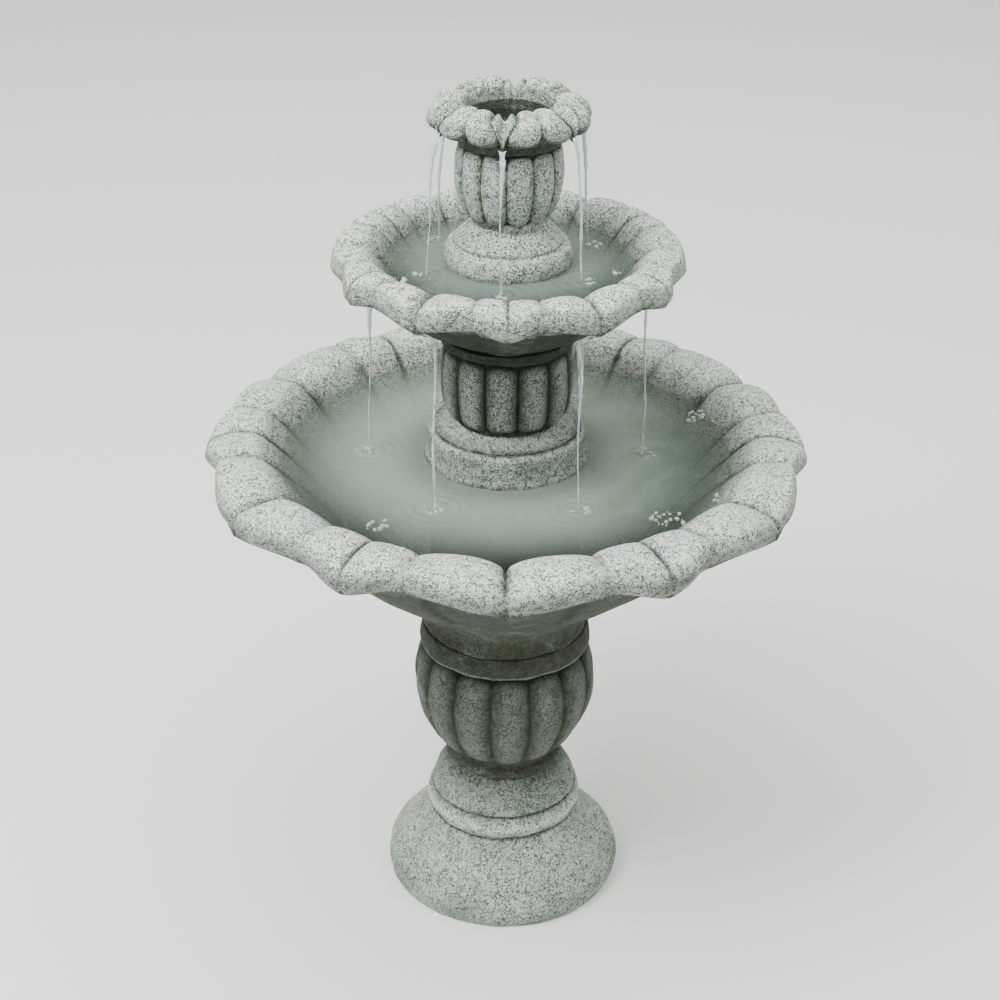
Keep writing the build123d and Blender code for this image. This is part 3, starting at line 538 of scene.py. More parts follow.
def feed(tree, node, inputs):
    """Links a node's inputs to sockets, or sets them to constants."""
    for name, value in inputs.items():
        if isinstance(value, bpy.types.NodeSocket):
            tree.links.new(value, node.inputs[name])
        else:
            node.inputs[name].default_value = value


def add(tree, kind, inputs=None, **settings):
    """Adds a node with its settings, and links its inputs or sets them."""
    node = tree.nodes.new(kind)
    for name, value in settings.items():
        setattr(node, name, value)
    feed(tree, node, inputs or {})
    return node


def new_material(name):
    """An empty node material, with its tree, its shader and its output."""
    material = bpy.data.materials.new(name)
    material.use_nodes = True
    tree = material.node_tree
    tree.nodes.clear()
    shader = add(tree, "ShaderNodeBsdfPrincipled")
    output = add(tree, "ShaderNodeOutputMaterial", {"Surface": shader.outputs["BSDF"]})
    return material, tree, shader, output


def made_once(make):
    """Lets a material be made once and then found again by the name of its function."""

    @wraps(make)
    def find():
        return bpy.data.materials.get(make.__name__) or make()

    return find


def see_through(tree, shader, output, colour, share):
    """Lets light of a colour straight past a shader; share is how much of the shader stays."""
    clear = add(tree, "ShaderNodeBsdfTransparent", {"Color": linear(colour)})
    layers = add(tree, "ShaderNodeMixShader", {0: share, 1: clear.outputs[0], 2: shader.outputs[0]})
    tree.links.new(layers.outputs[0], output.inputs["Surface"])


def give(piece, material):
    """Makes a material the only one of a piece."""
    piece.data.materials.clear()
    piece.data.materials.append(material)
    for face in piece.data.polygons:
        face.material_index = 0


@made_once
def weathered_cast_stone():
    """Reconstituted stone: sand and white cement, tamped damp into a mould and then etched.

    The damp mix leaves worm-like pits one to three millimetres wide, which fill with black algae. Rims
    bleach where water and hands rub them, grooves keep green-black grime, and wet stone is darker and shines.
    Painted shade darkens undersides, vases and inner walls, and painted top light pales upward faces.
    """
    settings = bpy.context.scene.fountain_stone
    material, tree, shader, _ = new_material("weathered_cast_stone")
    place = add(tree, "ShaderNodeTexCoord").outputs["Object"]
    weather_and_painted_light = add(tree, "ShaderNodeAttribute", attribute_name="weather_and_painted_light")
    split = add(tree, "ShaderNodeSeparateColor", {"Color": weather_and_painted_light.outputs["Color"]})
    grime, wear, damp = (split.outputs[c] for c in ("Red", "Green", "Blue"))
    age = add(tree, "ShaderNodeAttribute", attribute_name="age").outputs["Fac"]

    # Noise patterns: scale per metre, detail, roughness and distortion of each.
    patterns = {}
    for pattern, scale, detail, rough, twist in (
        ("stain", 26.0, 4.0, 0.6, 0.0),  # 38 mm drifts of grime and of paler stone
        ("mottle", 95.0, 3.0, 0.6, 0.0),  # 10 mm blotches of sand
        ("grit", 560.0, 2.0, 0.6, 0.0),  # 1.8 mm, coarser than the real sand so that it shows
        ("tide", 11.0, 3.0, 0.5, 0.0),  # 90 mm stains
        ("breaks", 210.0, 1.0, 0.5, 0.0),  # 5 mm gaps between the worm-like pits
        ("wander", 370.0, 1.5, 0.5, 0.6),  # 3 mm bends of those pits
    ):
        links = {"Vector": place, "Scale": scale, "Detail": detail, "Roughness": rough, "Distortion": twist}
        patterns[pattern] = add(tree, "ShaderNodeTexNoise", links).outputs["Fac"]
    # Cells 2 mm wide, with a blowhole in the middle of some.
    blowholes = add(tree, "ShaderNodeTexVoronoi", {"Vector": place, "Scale": 480.0}).outputs["Distance"]
    centred = add(tree, "ShaderNodeMath", {0: patterns["wander"], 1: 0.5}, operation="SUBTRACT").outputs[0]
    worm_line = add(tree, "ShaderNodeMath", {0: centred}, operation="ABSOLUTE").outputs[0]
    # Smooth steps of those patterns: what is read, from and to which values, and what comes out.
    steps = {}
    for step, value, low, high, start, end in (
        ("worms", worm_line, 0.06, 0.02, 0.0, 1.0),  # pits 1 mm wide along wandering lines
        ("broken", patterns["breaks"], 0.5, 0.62, 0.0, 1.0),
        ("holes", blowholes, 0.5, 0.26, 0.0, 1.0),
        ("holed", patterns["mottle"], 0.32, 0.56, 0.0, 1.0),
        ("lighter", patterns["stain"], 0.35, 0.65, 0.0, 1.0),
        ("mossy", patterns["mottle"], 0.3, 0.7, 0.1, 0.7),
        ("age_and_shade_patches", patterns["stain"], 0.2, 0.5, 0.72, 1.0),
        ("worn_and_lit_patches", patterns["mottle"], 0.3, 0.55, 0.72, 1.0),
        ("grime_and_shade_patches", patterns["mottle"], 0.25, 0.5, 0.55, 0.92),
        ("tidal", patterns["tide"], 0.5, 0.68, 0.0, 0.5),
        ("sandy", patterns["grit"], 0.35, 0.65, 0.0, 0.4),
        ("gloss", damp, 0.1, 0.9, 0.86, 0.42),
    ):
        links = {"Value": value, "From Min": low, "From Max": high, "To Min": start, "To Max": end}
        steps[step] = add(tree, "ShaderNodeMapRange", links, interpolation_type="SMOOTHSTEP").outputs[0]
    # Grime and painted shade, thicker where the stone is stained.
    links = {0: patterns["stain"], 1: 0.5, 2: grime}
    drifting = add(tree, "ShaderNodeMath", links, operation="MULTIPLY_ADD").outputs[0]
    links = {"Value": drifting, "From Min": 0.37, "From Max": 1.1}
    filled = add(tree, "ShaderNodeMapRange", links, interpolation_type="SMOOTHSTEP").outputs[0]
    # Products of two masks each.
    masks = {}
    for mask, first, second in (
        ("worm_pits", steps["worms"], steps["broken"]),
        ("hole_pits", steps["holes"], steps["holed"]),
        ("stained_and_shaded", age, steps["age_and_shade_patches"]),
        ("worn_and_top_lit", wear, steps["worn_and_lit_patches"]),
        ("dirt", filled, steps["grime_and_shade_patches"]),
        ("brown", damp, steps["tidal"]),
        ("sand_relief", patterns["grit"], 0.18),
        ("soft_relief", patterns["mottle"], 0.9),
    ):
        masks[mask] = add(tree, "ShaderNodeMath", {0: first, 1: second}, operation="MULTIPLY").outputs[0]
    links = {0: masks["worm_pits"], 1: masks["hole_pits"]}
    pits = add(tree, "ShaderNodeMath", links, operation="MAXIMUM").outputs[0]
    pit_dirt = add(tree, "ShaderNodeMath", {0: pits, 1: 0.9}, operation="MULTIPLY").outputs[0]
    links = {0: steps["mossy"], 6: linear(settings.stained_and_shaded), 7: linear(settings.moss)}
    stained_and_shaded_tone = add(tree, "ShaderNodeMix", links, data_type="RGBA").outputs[2]
    # Colour, from the body outwards: staining and painted shade, bleaching and painted top light, grime and
    # painted shade, and the dirt in the pits.
    colour = linear(settings.body)
    for factor, over in (
        (steps["lighter"], linear(settings.light)),
        (masks["stained_and_shaded"], stained_and_shaded_tone),
        (masks["worn_and_top_lit"], linear(settings.worn_and_top_lit)),
        (masks["dirt"], linear(settings.patina)),
        (masks["brown"], linear(settings.rust)),
        (steps["sandy"], linear(settings.pit)),
        (pit_dirt, linear(settings.pit)),
    ):
        colour = add(tree, "ShaderNodeMix", {0: factor, 6: colour, 7: over}, data_type="RGBA").outputs[2]
    # Relief: pits a millimetre deep in a sandy skin that dips and swells.
    height = add(tree, "ShaderNodeMath", {0: masks["sand_relief"], 1: pits}, operation="SUBTRACT").outputs[0]
    height = add(tree, "ShaderNodeMath", {0: height, 1: masks["soft_relief"]}, operation="ADD").outputs[0]
    bump = add(tree, "ShaderNodeBump", {"Strength": 0.85, "Distance": 1.2 * MM, "Height": height}).outputs[0]
    feed(tree, shader, {"Base Color": colour, "Roughness": steps["gloss"], "Normal": bump})
    return material


def stone_piece(name, body, line, segments=None, replaces=None):
    """Spins a casting in place of its frame node; the caller sculpts it."""
    segments = segments or bpy.context.scene.fountain_stone.segments
    piece = spin_casting(name, line, segments)
    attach(piece, body)
    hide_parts(replaces)
    give(piece, weathered_cast_stone())
    return piece


def finish_stone(spun, seed, amount=1.0):
    """Last touches shared by every casting: hand wobble, and the stored weathering with its painted shade and
    top light.
    """
    spun.wobble(bpy.context.scene.fountain_stone.hand_wobble / MM * amount, seed)
    spun.store()


# ---------------------------------------------------------------- pedestal
class PedestalOperator(bpy.types.Operator):
    """Sculpt the moulded foot and the ribbed vase that carry the lower bowl"""

    bl_idname = "fountain.pedestal"
    bl_label = "Pedestal"

    def execute(self, context):
        line = outline(
            (127, 0),
            (6, [(141, 0)]),
            (2.2, [(144.5, 8), (145.5, 17), (143.5, 27), (138, 37)]),
            (3, [(127, 50), (112, 66), (99, 82), (90.5, 96)]),
            (1.6, [(92.5, 99), (94.5, 106), (94.5, 114), (92.5, 121), (88.5, 124)]),
            (1.4, [(87, 125.5), (88.5, 128)]),
            (2.4, [(87, 136), (82, 148), (75, 159), (68, 166), (66, FOOT_TOP)]),
            (6, [(46, FOOT_TOP)]),
            (8, [(46, 122), (72, 65), (127, 13)]),
            (6, [(127, 0)]),
        )
        foot = stone_piece("foot_casting", "basin", line, 256, "pedestal_foot")
        # The notch that the pump's cord leaves by.
        bore(foot, arch_cutter(180, distance=131, base=0, width=18, height=14))
        spun = Spun(foot, line)
        # Painted shade in the hollow of the ogee; darker also in the creases and towards the top.
        crease = bell(spun.height, 125.5, 2.5) + bell(spun.height, 96, 3.5)
        outside = spun.out[:, 0] > -0.1
        spun.grime = 0.75 * crease * outside + 0.5 * ramp(spun.height, 150, 168) * outside
        spun.grime = spun.grime + 0.3 * bell(spun.height, 44, 9) * outside
        # Partly painted top light: the upward slopes below the bead are lighter.
        spun.wear = 0.5 * ramp(spun.out[:, 1], 0.3, 0.8) * outside * ramp(spun.height, 110, 90)
        spun.wear = spun.wear + 0.95 * bell(spun.height, 112, 7)
        spun.age = 0.08 + 0.42 * ramp(spun.height, 122, 166)
        finish_stone(spun, seed=0.4)

        line = outline(
            (53, FOOT_TOP),
            (6, [(66, FOOT_TOP)]),
            (1.5, [(70, 172), (71, 176), (69, 181), (66, 184)]),
            (2, [(65.5, 187), (66, 190)]),
            (2.4, [(81, 214), (96, 245), (102, 276), (100, 304), (94, 326), (90, 333)]),
            (2, [(98, 334)]),
            (1.5, [(101, 335.5), (102, 338), (102.5, 343), (102, 350), (100.6, 357), (99, BASIN_SEAT)]),
            (6, [(76, BASIN_SEAT)]),
            (8, [(87, 275), (53, 200)]),
            (8, [(53, FOOT_TOP)]),
        )
        vase = stone_piece("pedestal_vase_casting", "basin", line, 336, "pedestal_vase")
        spun = Spun(vase, line)
        gadroons(spun, count=14, first=4.1, low=204, high=332.5, rise=8)
        collar = (spun.height > 333.5) & (spun.radius > 90)
        spun.grime = np.where(collar, 0.1, spun.grime)
        # Painted highlight: a thin pale edge along the collar's lower rim.
        spun.wear = np.where(collar & (spun.height < 338), 0.16, spun.wear * 0.3)
        # Partly painted shade: the whole vase is darkened as stained stone, also for the shade of the bowl
        # above it.
        spun.age = np.full(len(spun.radius), 1.0)
        finish_stone(spun, seed=1.7)
        return {"FINISHED"}


# ---------------------------------------------------------------- bowls
class BasinOperator(bpy.types.Operator):
    """Sculpt the large lower bowl, with its twelve scalloped lobes"""

    bl_idname = "fountain.basin"
    bl_label = "Lower bowl"

    def execute(self, context):
        hollow = BASIN_FLOOR - 14
        under = [(9, [(84, hollow)]), (6, [(84, BASIN_SEAT)])]
        inside = [(9, [(0, BASIN_FLOOR)])]
        levels = (BASIN_CREST, BASIN_FLOOR, BASIN_SEAT)
        line = bowl_line(BASIN_TIP, *levels, BASIN_SIZES, (0, hollow), under, inside)
        bowl = stone_piece("lower_bowl_casting", "basin", line, replaces="lower_bowl")
        bore(bowl, round_cutter("drain_plug", radius=8), round_cutter("cord_gland", radius=7.5))
        spun = Spun(bowl, line)
        water, _ = water_levels()
        scalloped_rim(spun, 0, BASIN_TIP, BASIN_CREST, water, BASIN_SIZES)
        # The outer edge is stained brown where drips hang from it.
        spun.age = np.maximum(spun.age, 0.5 * ramp(spun.radius, 338, 350) * (spun.height > 560))
        finish_stone(spun, seed=2.9)
        return {"FINISHED"}


class MiddleBowlOperator(bpy.types.Operator):
    """Sculpt the middle bowl, turned by half a repeat from the lower one"""

    bl_idname = "fountain.middle_bowl"
    bl_label = "Middle bowl"

    def execute(self, context):
        floor = MIDDLE_FLOOR
        pipe_top = floor + 60
        hollow = floor - 14
        under = [(8, [(9, hollow)]), (8, [(58, hollow)]), (6, [(58, MIDDLE_SEAT)])]
        inside = [(6, [(19, floor)]), (6, [(19, pipe_top)]), (3, [(9, pipe_top)])]
        levels = (MIDDLE_CREST, floor, MIDDLE_SEAT)
        line = bowl_line(MIDDLE_TIP, *levels, MIDDLE_SIZES, (9, pipe_top), under, inside)
        bowl = stone_piece("middle_bowl_casting", "middle_tier", line, replaces="middle_bowl")
        spun = Spun(bowl, line)
        _, water = water_levels()
        scalloped_rim(spun, HALF_REPEAT, MIDDLE_TIP, MIDDLE_CREST, water, MIDDLE_SIZES)
        finish_stone(spun, seed=4.3, amount=0.7)
        return {"FINISHED"}


# ---------------------------------------------------------------- columns
class ColumnOperator(bpy.types.Operator):
    """Sculpt the column's base, which houses the pump, and the ribbed vase on it"""

    bl_idname = "fountain.column"
    bl_label = "Column"

    def execute(self, context):
        line = outline(
            (78, BASIN_FLOOR),
            (6, [(88, BASIN_FLOOR)]),
            (2.8, [(90, 560)]),
            (1.8, [(91.5, 570), (95.2, 581), (95.6, 586), (93, 592), (92, 596)]),
            (1.6, [(90.4, 598), (90, 601)]),
            (2.4, [(90, 617)]),
            (1.6, [(88, 620), (85.4, 623), (84.6, 627)]),
            (2.2, [(76, 628.5), (66, 631), (57, COLUMN_NECK)]),
            (6, [(43, COLUMN_NECK)]),
            (8, [(43, 620)]),
            (8, [(78, 594)]),
            (8, [(78, BASIN_FLOOR)]),
        )
        base = stone_piece("column_base_casting", "column", line, 256, "column_base")
        # Three low doorways let the basin's water in to the pump.
        for bearing in (-9, 111, 231):
            bore(base, arch_cutter(bearing, distance=84, base=BASIN_FLOOR, width=50, height=16))
        spun = Spun(base, line)
        outside = (spun.out[:, 0] > 0.05) | (spun.height > 620)
        water, _ = water_levels()
        wet_line = bell(spun.height, water, 7)
        spun.grime = (0.55 * wet_line + 0.75 * bell(spun.height, 625, 3.5)) * outside
        spun.grime = spun.grime + 0.45 * bell(spun.height, 597, 2.5) * outside
        # Partly painted top light: upward faces are lighter.
        spun.wear = 0.6 * ramp(spun.out[:, 1], 0.0, 0.9) * outside
        spun.damp = np.maximum(ramp(spun.height, water + 9, water), 0.25)
        spun.age = 0.1 + 0.9 * ramp(spun.height, water, water - 20)
        finish_stone(spun, seed=5.2, amount=0.8)

        line = outline(
            (43, COLUMN_NECK),
            (5, [(57, COLUMN_NECK)]),
            (1.4, [(60, 635.5), (61, 637.5), (60, 640)]),
            (2, [(66, 655), (69, 680), (68.5, 705), (67, 720), (66, 727)]),
            (1.8, [(72.5, 728)]),
            (1.3, [(75, 729.5), (76, 732), (76, MIDDLE_SEAT)]),
            (5, [(57, MIDDLE_SEAT)]),
            (3, [(57, 748)]),
            (3, [(51, 748)]),
            (3.5, [(51, MIDDLE_SEAT)]),
            (8, [(56, 690), (43, 654)]),
            (8, [(43, COLUMN_NECK)]),
        )
        vase = stone_piece("column_vase_casting", "column", line, 288, "column_vase")
        spun = Spun(vase, line)
        gadroons(spun, count=12, first=-5, low=640.5, high=726.5, rise=6.5)
        # Partly painted shade: the vase is darkened almost fully as stained stone, also for the shade of the
        # middle bowl above it.
        spun.age = 0.95 + 0.05 * ramp(spun.height, 690, 640)
        band = (spun.height > 727) & (spun.radius > 70)
        spun.grime = np.where(band, 0.5, spun.grime)
        spun.damp = np.full(len(spun.radius), 0.3)
        finish_stone(spun, seed=6.1, amount=0.7)
        return {"FINISHED"}


class TopColumnOperator(bpy.types.Operator):
    """Sculpt the drum that stands in the middle bowl and the small ribbed vase under the crown"""

    bl_idname = "fountain.top_column"
    bl_label = "Top column"

    def execute(self, context):
        line = outline(
            (57, MIDDLE_FLOOR),
            (5, [(71, MIDDLE_FLOOR)]),
            (2.8, [(71, 826)]),
            (1.7, [(71, 834), (70, 841), (67.5, 845.5)]),
            (1.3, [(63, 847), (60.5, 849.5), (60.4, 852)]),
            (2, [(54, 859), (46.5, 866), (41, 870), (40, TOP_NECK)]),
            (5, [(26, TOP_NECK)]),
            (6, [(26, 858)]),
            (8, [(57, 834)]),
            (8, [(57, MIDDLE_FLOOR)]),
        )
        drum = stone_piece("top_drum_casting", "top_tier", line, 240, "top_base")
        spun = Spun(drum, line)
        outside = (spun.out[:, 0] > 0.05) & (spun.radius > 38)
        _, water = water_levels()
        wet_line = bell(spun.height, water, 5)
        spun.grime = (0.5 * wet_line + 0.6 * bell(spun.height, 850, 2.2)) * outside
        spun.wear = 0.5 * ramp(spun.height, 828, 840) * outside
        spun.damp = np.maximum(ramp(spun.height, water + 6, water), 0.15)
        spun.age = 0.05 + 0.35 * ramp(spun.height, water, water - 14)
        finish_stone(spun, seed=7.7, amount=0.6)

        line = outline(
            (26, TOP_NECK),
            (5, [(40, TOP_NECK)]),
            (1.6, [(40.5, 876), (41, 880)]),
            (1.8, [(48, 896), (52.5, 912), (54, 926), (52.5, 946), (50, CROWN_SEAT)]),
            (4, [(39, CROWN_SEAT)]),
            (8, [(42, 925), (26, 888)]),
            (7, [(26, TOP_NECK)]),
        )
        vase = stone_piece("top_vase_casting", "top_tier", line, 280, "top_vase")
        spun = Spun(vase, line)
        gadroons(spun, count=12, first=12.7, low=880.5, high=961, rise=6.5)
        spun.grime = np.minimum(spun.grime * 1.15, 1)
        spun.age = 0.18 + 0.3 * ramp(spun.height, 900, 880)
        spun.damp = np.full(len(spun.radius), 0.2)
        # A rough bead of mortar, smeared round part of the joint.
        lump = ramp(spun.bearing, -30, 5) * ramp(spun.bearing, 125, 100) * (np.abs(spun.height - 875) < 6)
        angle = np.radians(spun.bearing)
        rough = 2.6 + 1.6 * np.sin(17 * angle + 1.1) + 1.1 * np.sin(41 * angle + spun.height)
        spun.push(lump * rough * (spun.out[:, 0] > 0.2))
        spun.wear = np.maximum(spun.wear, 0.7 * lump)
        finish_stone(spun, seed=8.4, amount=0.5)
        return {"FINISHED"}


# ---------------------------------------------------------------- crown
class CrownOperator(bpy.types.Operator):
    """Sculpt the flower-like crown, with its six spouts and twelve curling petals"""

    bl_idname = "fountain.crown"
    bl_label = "Crown"

    def execute(self, context):
        crest = 62
        line = outline(
            (12, 972),
            (4, [(12, CROWN_SEAT)]),
            (5, [(56, CROWN_SEAT)]),
            (2, [(55.5, 967), (56, 972)]),
            (2, [(58, 977), (64, 983), (74, 981), (80, 979)]),
            (1.7, [(85, 982.5), (87, 990), (83, 1000.5), (74, 1009.5), (69, 1012), (crest, 1013)]),
            (1.7, [(55, 1011), (50, 1006), (46, 998), (42, 985), (39, 976), (36, 972)]),
            (3, [(12, 972)]),
        )
        crown = stone_piece("crown_casting", "top_tier", line, 384, "crown")
        spun = Spun(crown, line)
        place = lobe_place(spun.bearing, -5.0)
        outer = np.clip((spun.radius - crest) / (CROWN_TIP - crest), 0, 1)
        # The spout's two flanges draw together towards its tip, and the petals close in beside them.
        narrow = 1 - 0.8 * ramp(spun.height, 1008, 980) * (spun.radius > crest)
        flange, groove = 6.8 * narrow, 12.5 * narrow
        t = np.clip((place - groove) / (HALF_REPEAT - groove), 0, 1)
        petal = cushion(2 * t - 1, 2.2)
        lobe = (8.5 - t) * (1 - petal)
        inside = 4 + 15 * (1 - ramp(place, 0, flange))
        beside = 4 + 4.5 * ramp(place, flange, groove)
        depth = np.where(place < flange, inside, np.where(place < groove, beside, lobe))
        rim = spun.height > 973
        top = rim & ((spun.out[:, 1] > 0.03) | (spun.out[:, 0] > 0.3)) & (spun.radius > 37)
        fading = np.interp(spun.radius, [41, 47, 54, crest], [0, 0.3, 0.7, 1])
        channel = place < flange
        weight = np.where(spun.radius < crest, fading, np.where(channel, 1 - 0.62 * outer, 1 - 0.3 * outer))
        weight = np.where(top, weight, 0)
        spun.push(-depth * weight)
        spout_swell = 3 - 8.5 * (place / groove) ** 1.5
        petal_swell = -7.5 + 10.5 * np.sqrt(petal) - 2.5 * t
        swell = np.where(place < groove, spout_swell, petal_swell)
        spun.radius = spun.radius + np.where(rim, outer**1.3 * swell, 0)
        droop = np.where(place < groove, -9 + 17 * place / groove, 8 - 8 * petal)
        spun.height = spun.height + np.where(rim, outer**1.8 * droop, 0)
        creased = np.where(place < groove, np.clip(depth / 8, 0, 1) * ~channel, (1 - petal) ** 1.6)
        edge_dirt = creased * weight
        # Painted shade: the cup's wall, deep in the crown, is darkened fully.
        wet_cup = (spun.radius < 50) & rim
        cup_wall = (spun.radius < 50) & (spun.height < 992) & (spun.height > 963)
        spun.grime = np.maximum(0.8 * edge_dirt, 1.0 * cup_wall)
        spun.grime = np.maximum(spun.grime, 0.3 * (channel & top))
        # Partly painted top light: upward faces outside the cup are lighter.
        spun.wear = 0.85 * ramp(spun.out[:, 1], 0.15, 0.7) * (1 - edge_dirt) * ~wet_cup
        spun.damp = np.where(wet_cup | (channel & top), 0.8, 0.2)
        # Painted shade: faces that turn downwards, and the collar under the petals, are darkened as stained
        # stone.
        collar = (spun.height < 981) & (spun.radius > 50) & (spun.radius < 66)
        spun.age = np.maximum(0.95 * collar, 0.06 + 0.8 * ramp(-spun.out[:, 1], 0.1, 0.8))
        spun.age = np.where(cup_wall, 1.0, np.where(wet_cup, 0.25, spun.age))
        finish_stone(spun, seed=9.6, amount=0.5)
        return {"FINISHED"}


# ---------------------------------------------------------------- water
WATER_IOR = 1.33


def standing_water(name, tint, algae):
    """Fountain water, still: milky with stone dust and algae, so the stone under it shows only faintly.

    It is clear where it is shallow, at the walls, and over the deep it hides two thirds of what lies below.
    The surface is a gloss skin that small waves from the streams keep moving.
    """
    material, tree, shader, output = new_material(name)
    place = add(tree, "ShaderNodeTexCoord").outputs["Object"]
    depth = add(tree, "ShaderNodeAttribute", attribute_name="depth").outputs["Fac"]
    # Algae gather on the +X side, in drifts 110 mm across.
    links = {"Vector": place, "Scale": 9.0, "Detail": 3.0, "Distortion": 1.2}
    drift = add(tree, "ShaderNodeTexNoise", links).outputs[0]
    side = add(tree, "ShaderNodeSeparateXYZ", {"Vector": place}).outputs["X"]
    lee = add(tree, "ShaderNodeMapRange", {"Value": side, "From Min": -0.05, "From Max": 0.24}).outputs[0]
    lee = add(tree, "ShaderNodeMath", {0: lee, 1: drift}, operation="MULTIPLY").outputs[0]
    links = {"Value": lee, "From Min": 0.12, "From Max": 0.62}
    gathered = add(tree, "ShaderNodeMapRange", links, interpolation_type="SMOOTHSTEP").outputs[0]
    links = {0: gathered, 6: linear(tint), 7: linear(algae)}
    body = add(tree, "ShaderNodeMix", links, data_type="RGBA").outputs[2]
    # Waves 14 mm apart.
    links = {"Vector": place, "Scale": 70.0, "Detail": 2.0, "Distortion": 0.8}
    waves = add(tree, "ShaderNodeTexNoise", links).outputs[0]
    bump = add(tree, "ShaderNodeBump", {"Strength": 0.5, "Distance": 1.6 * MM, "Height": waves}).outputs[0]
    feed(tree, shader, {"Base Color": body, "Roughness": 0.09, "IOR": WATER_IOR, "Normal": bump})
    links = {"Value": depth, "To Min": 0.04, "To Max": 0.66}
    murk = add(tree, "ShaderNodeMapRange", links, interpolation_type="SMOOTHSTEP").outputs[0]
    see_through(tree, shader, output, "EFF4EF", murk)
    return material


@made_once
def falling_water():
    """Fountain water, falling: full of fine air bubbles, whitish in its middle with dark, glassy edges."""
    material, tree, shader, output = new_material("falling_water")
    place = add(tree, "ShaderNodeTexCoord").outputs["Object"]
    # Streaks 2.4 mm wide and six times as long.
    stretch = add(tree, "ShaderNodeMapping", {"Vector": place, "Scale": (1.0, 1.0, 0.16)}).outputs[0]
    streaks = add(tree, "ShaderNodeTexNoise", {"Vector": stretch, "Scale": 420.0, "Detail": 2.0}).outputs[0]
    bump = add(tree, "ShaderNodeBump", {"Strength": 0.5, "Distance": 0.8 * MM, "Height": streaks}).outputs[0]
    colour = linear("E9EFEE")
    feed(tree, shader, {"Base Color": colour, "Roughness": 0.08, "IOR": WATER_IOR, "Normal": bump})
    rim = add(tree, "ShaderNodeLayerWeight", {"Blend": 0.35}).outputs["Facing"]
    links = {"Value": streaks, "From Min": 0.35, "From Max": 0.65, "To Min": 0.25, "To Max": 0.8}
    air = add(tree, "ShaderNodeMapRange", links).outputs[0]
    body = add(tree, "ShaderNodeMath", {0: air, 1: rim}, operation="MAXIMUM").outputs[0]
    see_through(tree, shader, output, "DDE6E2", body)
    return material


@made_once
def foam_bubbles():
    """Foam: thin-walled bubbles on the water, clear on top with a pale ring at the edge."""
    material, tree, shader, output = new_material("foam_bubbles")
    place = add(tree, "ShaderNodeTexCoord").outputs["Object"]
    film = add(tree, "ShaderNodeTexNoise", {"Vector": place, "Scale": 500.0, "Detail": 1.0}).outputs[0]
    links = {0: film, 6: linear("E4E8E4"), 7: linear("F6F8F6")}
    tint = add(tree, "ShaderNodeMix", links, data_type="RGBA").outputs[2]
    feed(tree, shader, {"Base Color": tint, "Roughness": 0.12, "IOR": WATER_IOR})
    rim = add(tree, "ShaderNodeLayerWeight", {"Blend": 0.5}).outputs["Facing"]
    links = {"Value": rim, "From Min": 0.2, "From Max": 0.8, "To Min": 0.3, "To Max": 0.95}
    edge = add(tree, "ShaderNodeMapRange", links).outputs[0]
    see_through(tree, shader, output, "EFF4F0", edge)
    return material


def polar(radius, bearing):
    """Place in plan, in millimetres, at a bearing that is 0 at the front and grows towards +X."""
    angle = math.radians(bearing)
    return radius * math.sin(angle), -radius * math.cos(angle)


# Bearings of the streams, and how far from the axis they land, in millimetres.
MIDDLE_FALLS = [30 + 60 * i for i in range(6)]
MIDDLE_FALL_RADIUS = 158.0
CROWN_FALLS = [-5 + 60 * i for i in range(6)]
CROWN_FALL_RADIUS = 101.0
# Where a stream leaves its lip and where it lets go, as radius and height: water clings under the lip.
MIDDLE_LIP = (190, 806)
MIDDLE_LETS_GO = (152, 782)
CROWN_LIP = (84, 977)
CROWN_LETS_GO = (86, 969)
# How far from the axis each sheet of water ends.
BASIN_SHORE = 270
MIDDLE_SHORE = 148
CROWN_SHORE = 44


def water_piece(name, body, line, level, shore, falls, fall_radius, material):
    """A bowl's standing water, closed below inside the stone, with rings where the streams land."""
    piece = spin_casting(name, line, 360)
    spun = Spun(piece, line)
    surface = spun.height > level - 0.01
    angle = np.radians(spun.bearing)
    x = spun.radius * np.sin(angle)
    y = -spun.radius * np.cos(angle)
    lift = 0.35 * np.sin(x / 13 + 0.4 * np.sin(y / 21)) * np.sin(y / 11 + 0.7)
    # Each stream makes a dent 10 mm wide, and rings 12.5 mm apart that die away from it.
    for bearing in falls:
        fall_x, fall_y = polar(fall_radius, bearing)
        away = np.hypot(x - fall_x, y - fall_y)
        rings = 1.1 * np.cos(away * 2 * math.pi / 12.5) * np.exp(-away / 26)
        lift = lift + rings - 2.2 * bell(away, 0, 5)
    spun.height = spun.height + np.where(surface & (spun.radius < shore), lift, 0)
    spun.store()
    depth = piece.data.attributes.new("depth", "FLOAT", "POINT")
    # Milky over the slope of the walls, clearer at the shore and round the column, where the pump draws.
    slope = np.clip((shore - spun.radius) / (shore * 0.46), 0, 1)
    deep = slope * (1 - 0.4 * ramp(spun.radius, shore * 0.56, shore * 0.36))
    depth.data.foreach_set("value", deep)
    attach(piece, body)
    give(piece, material)


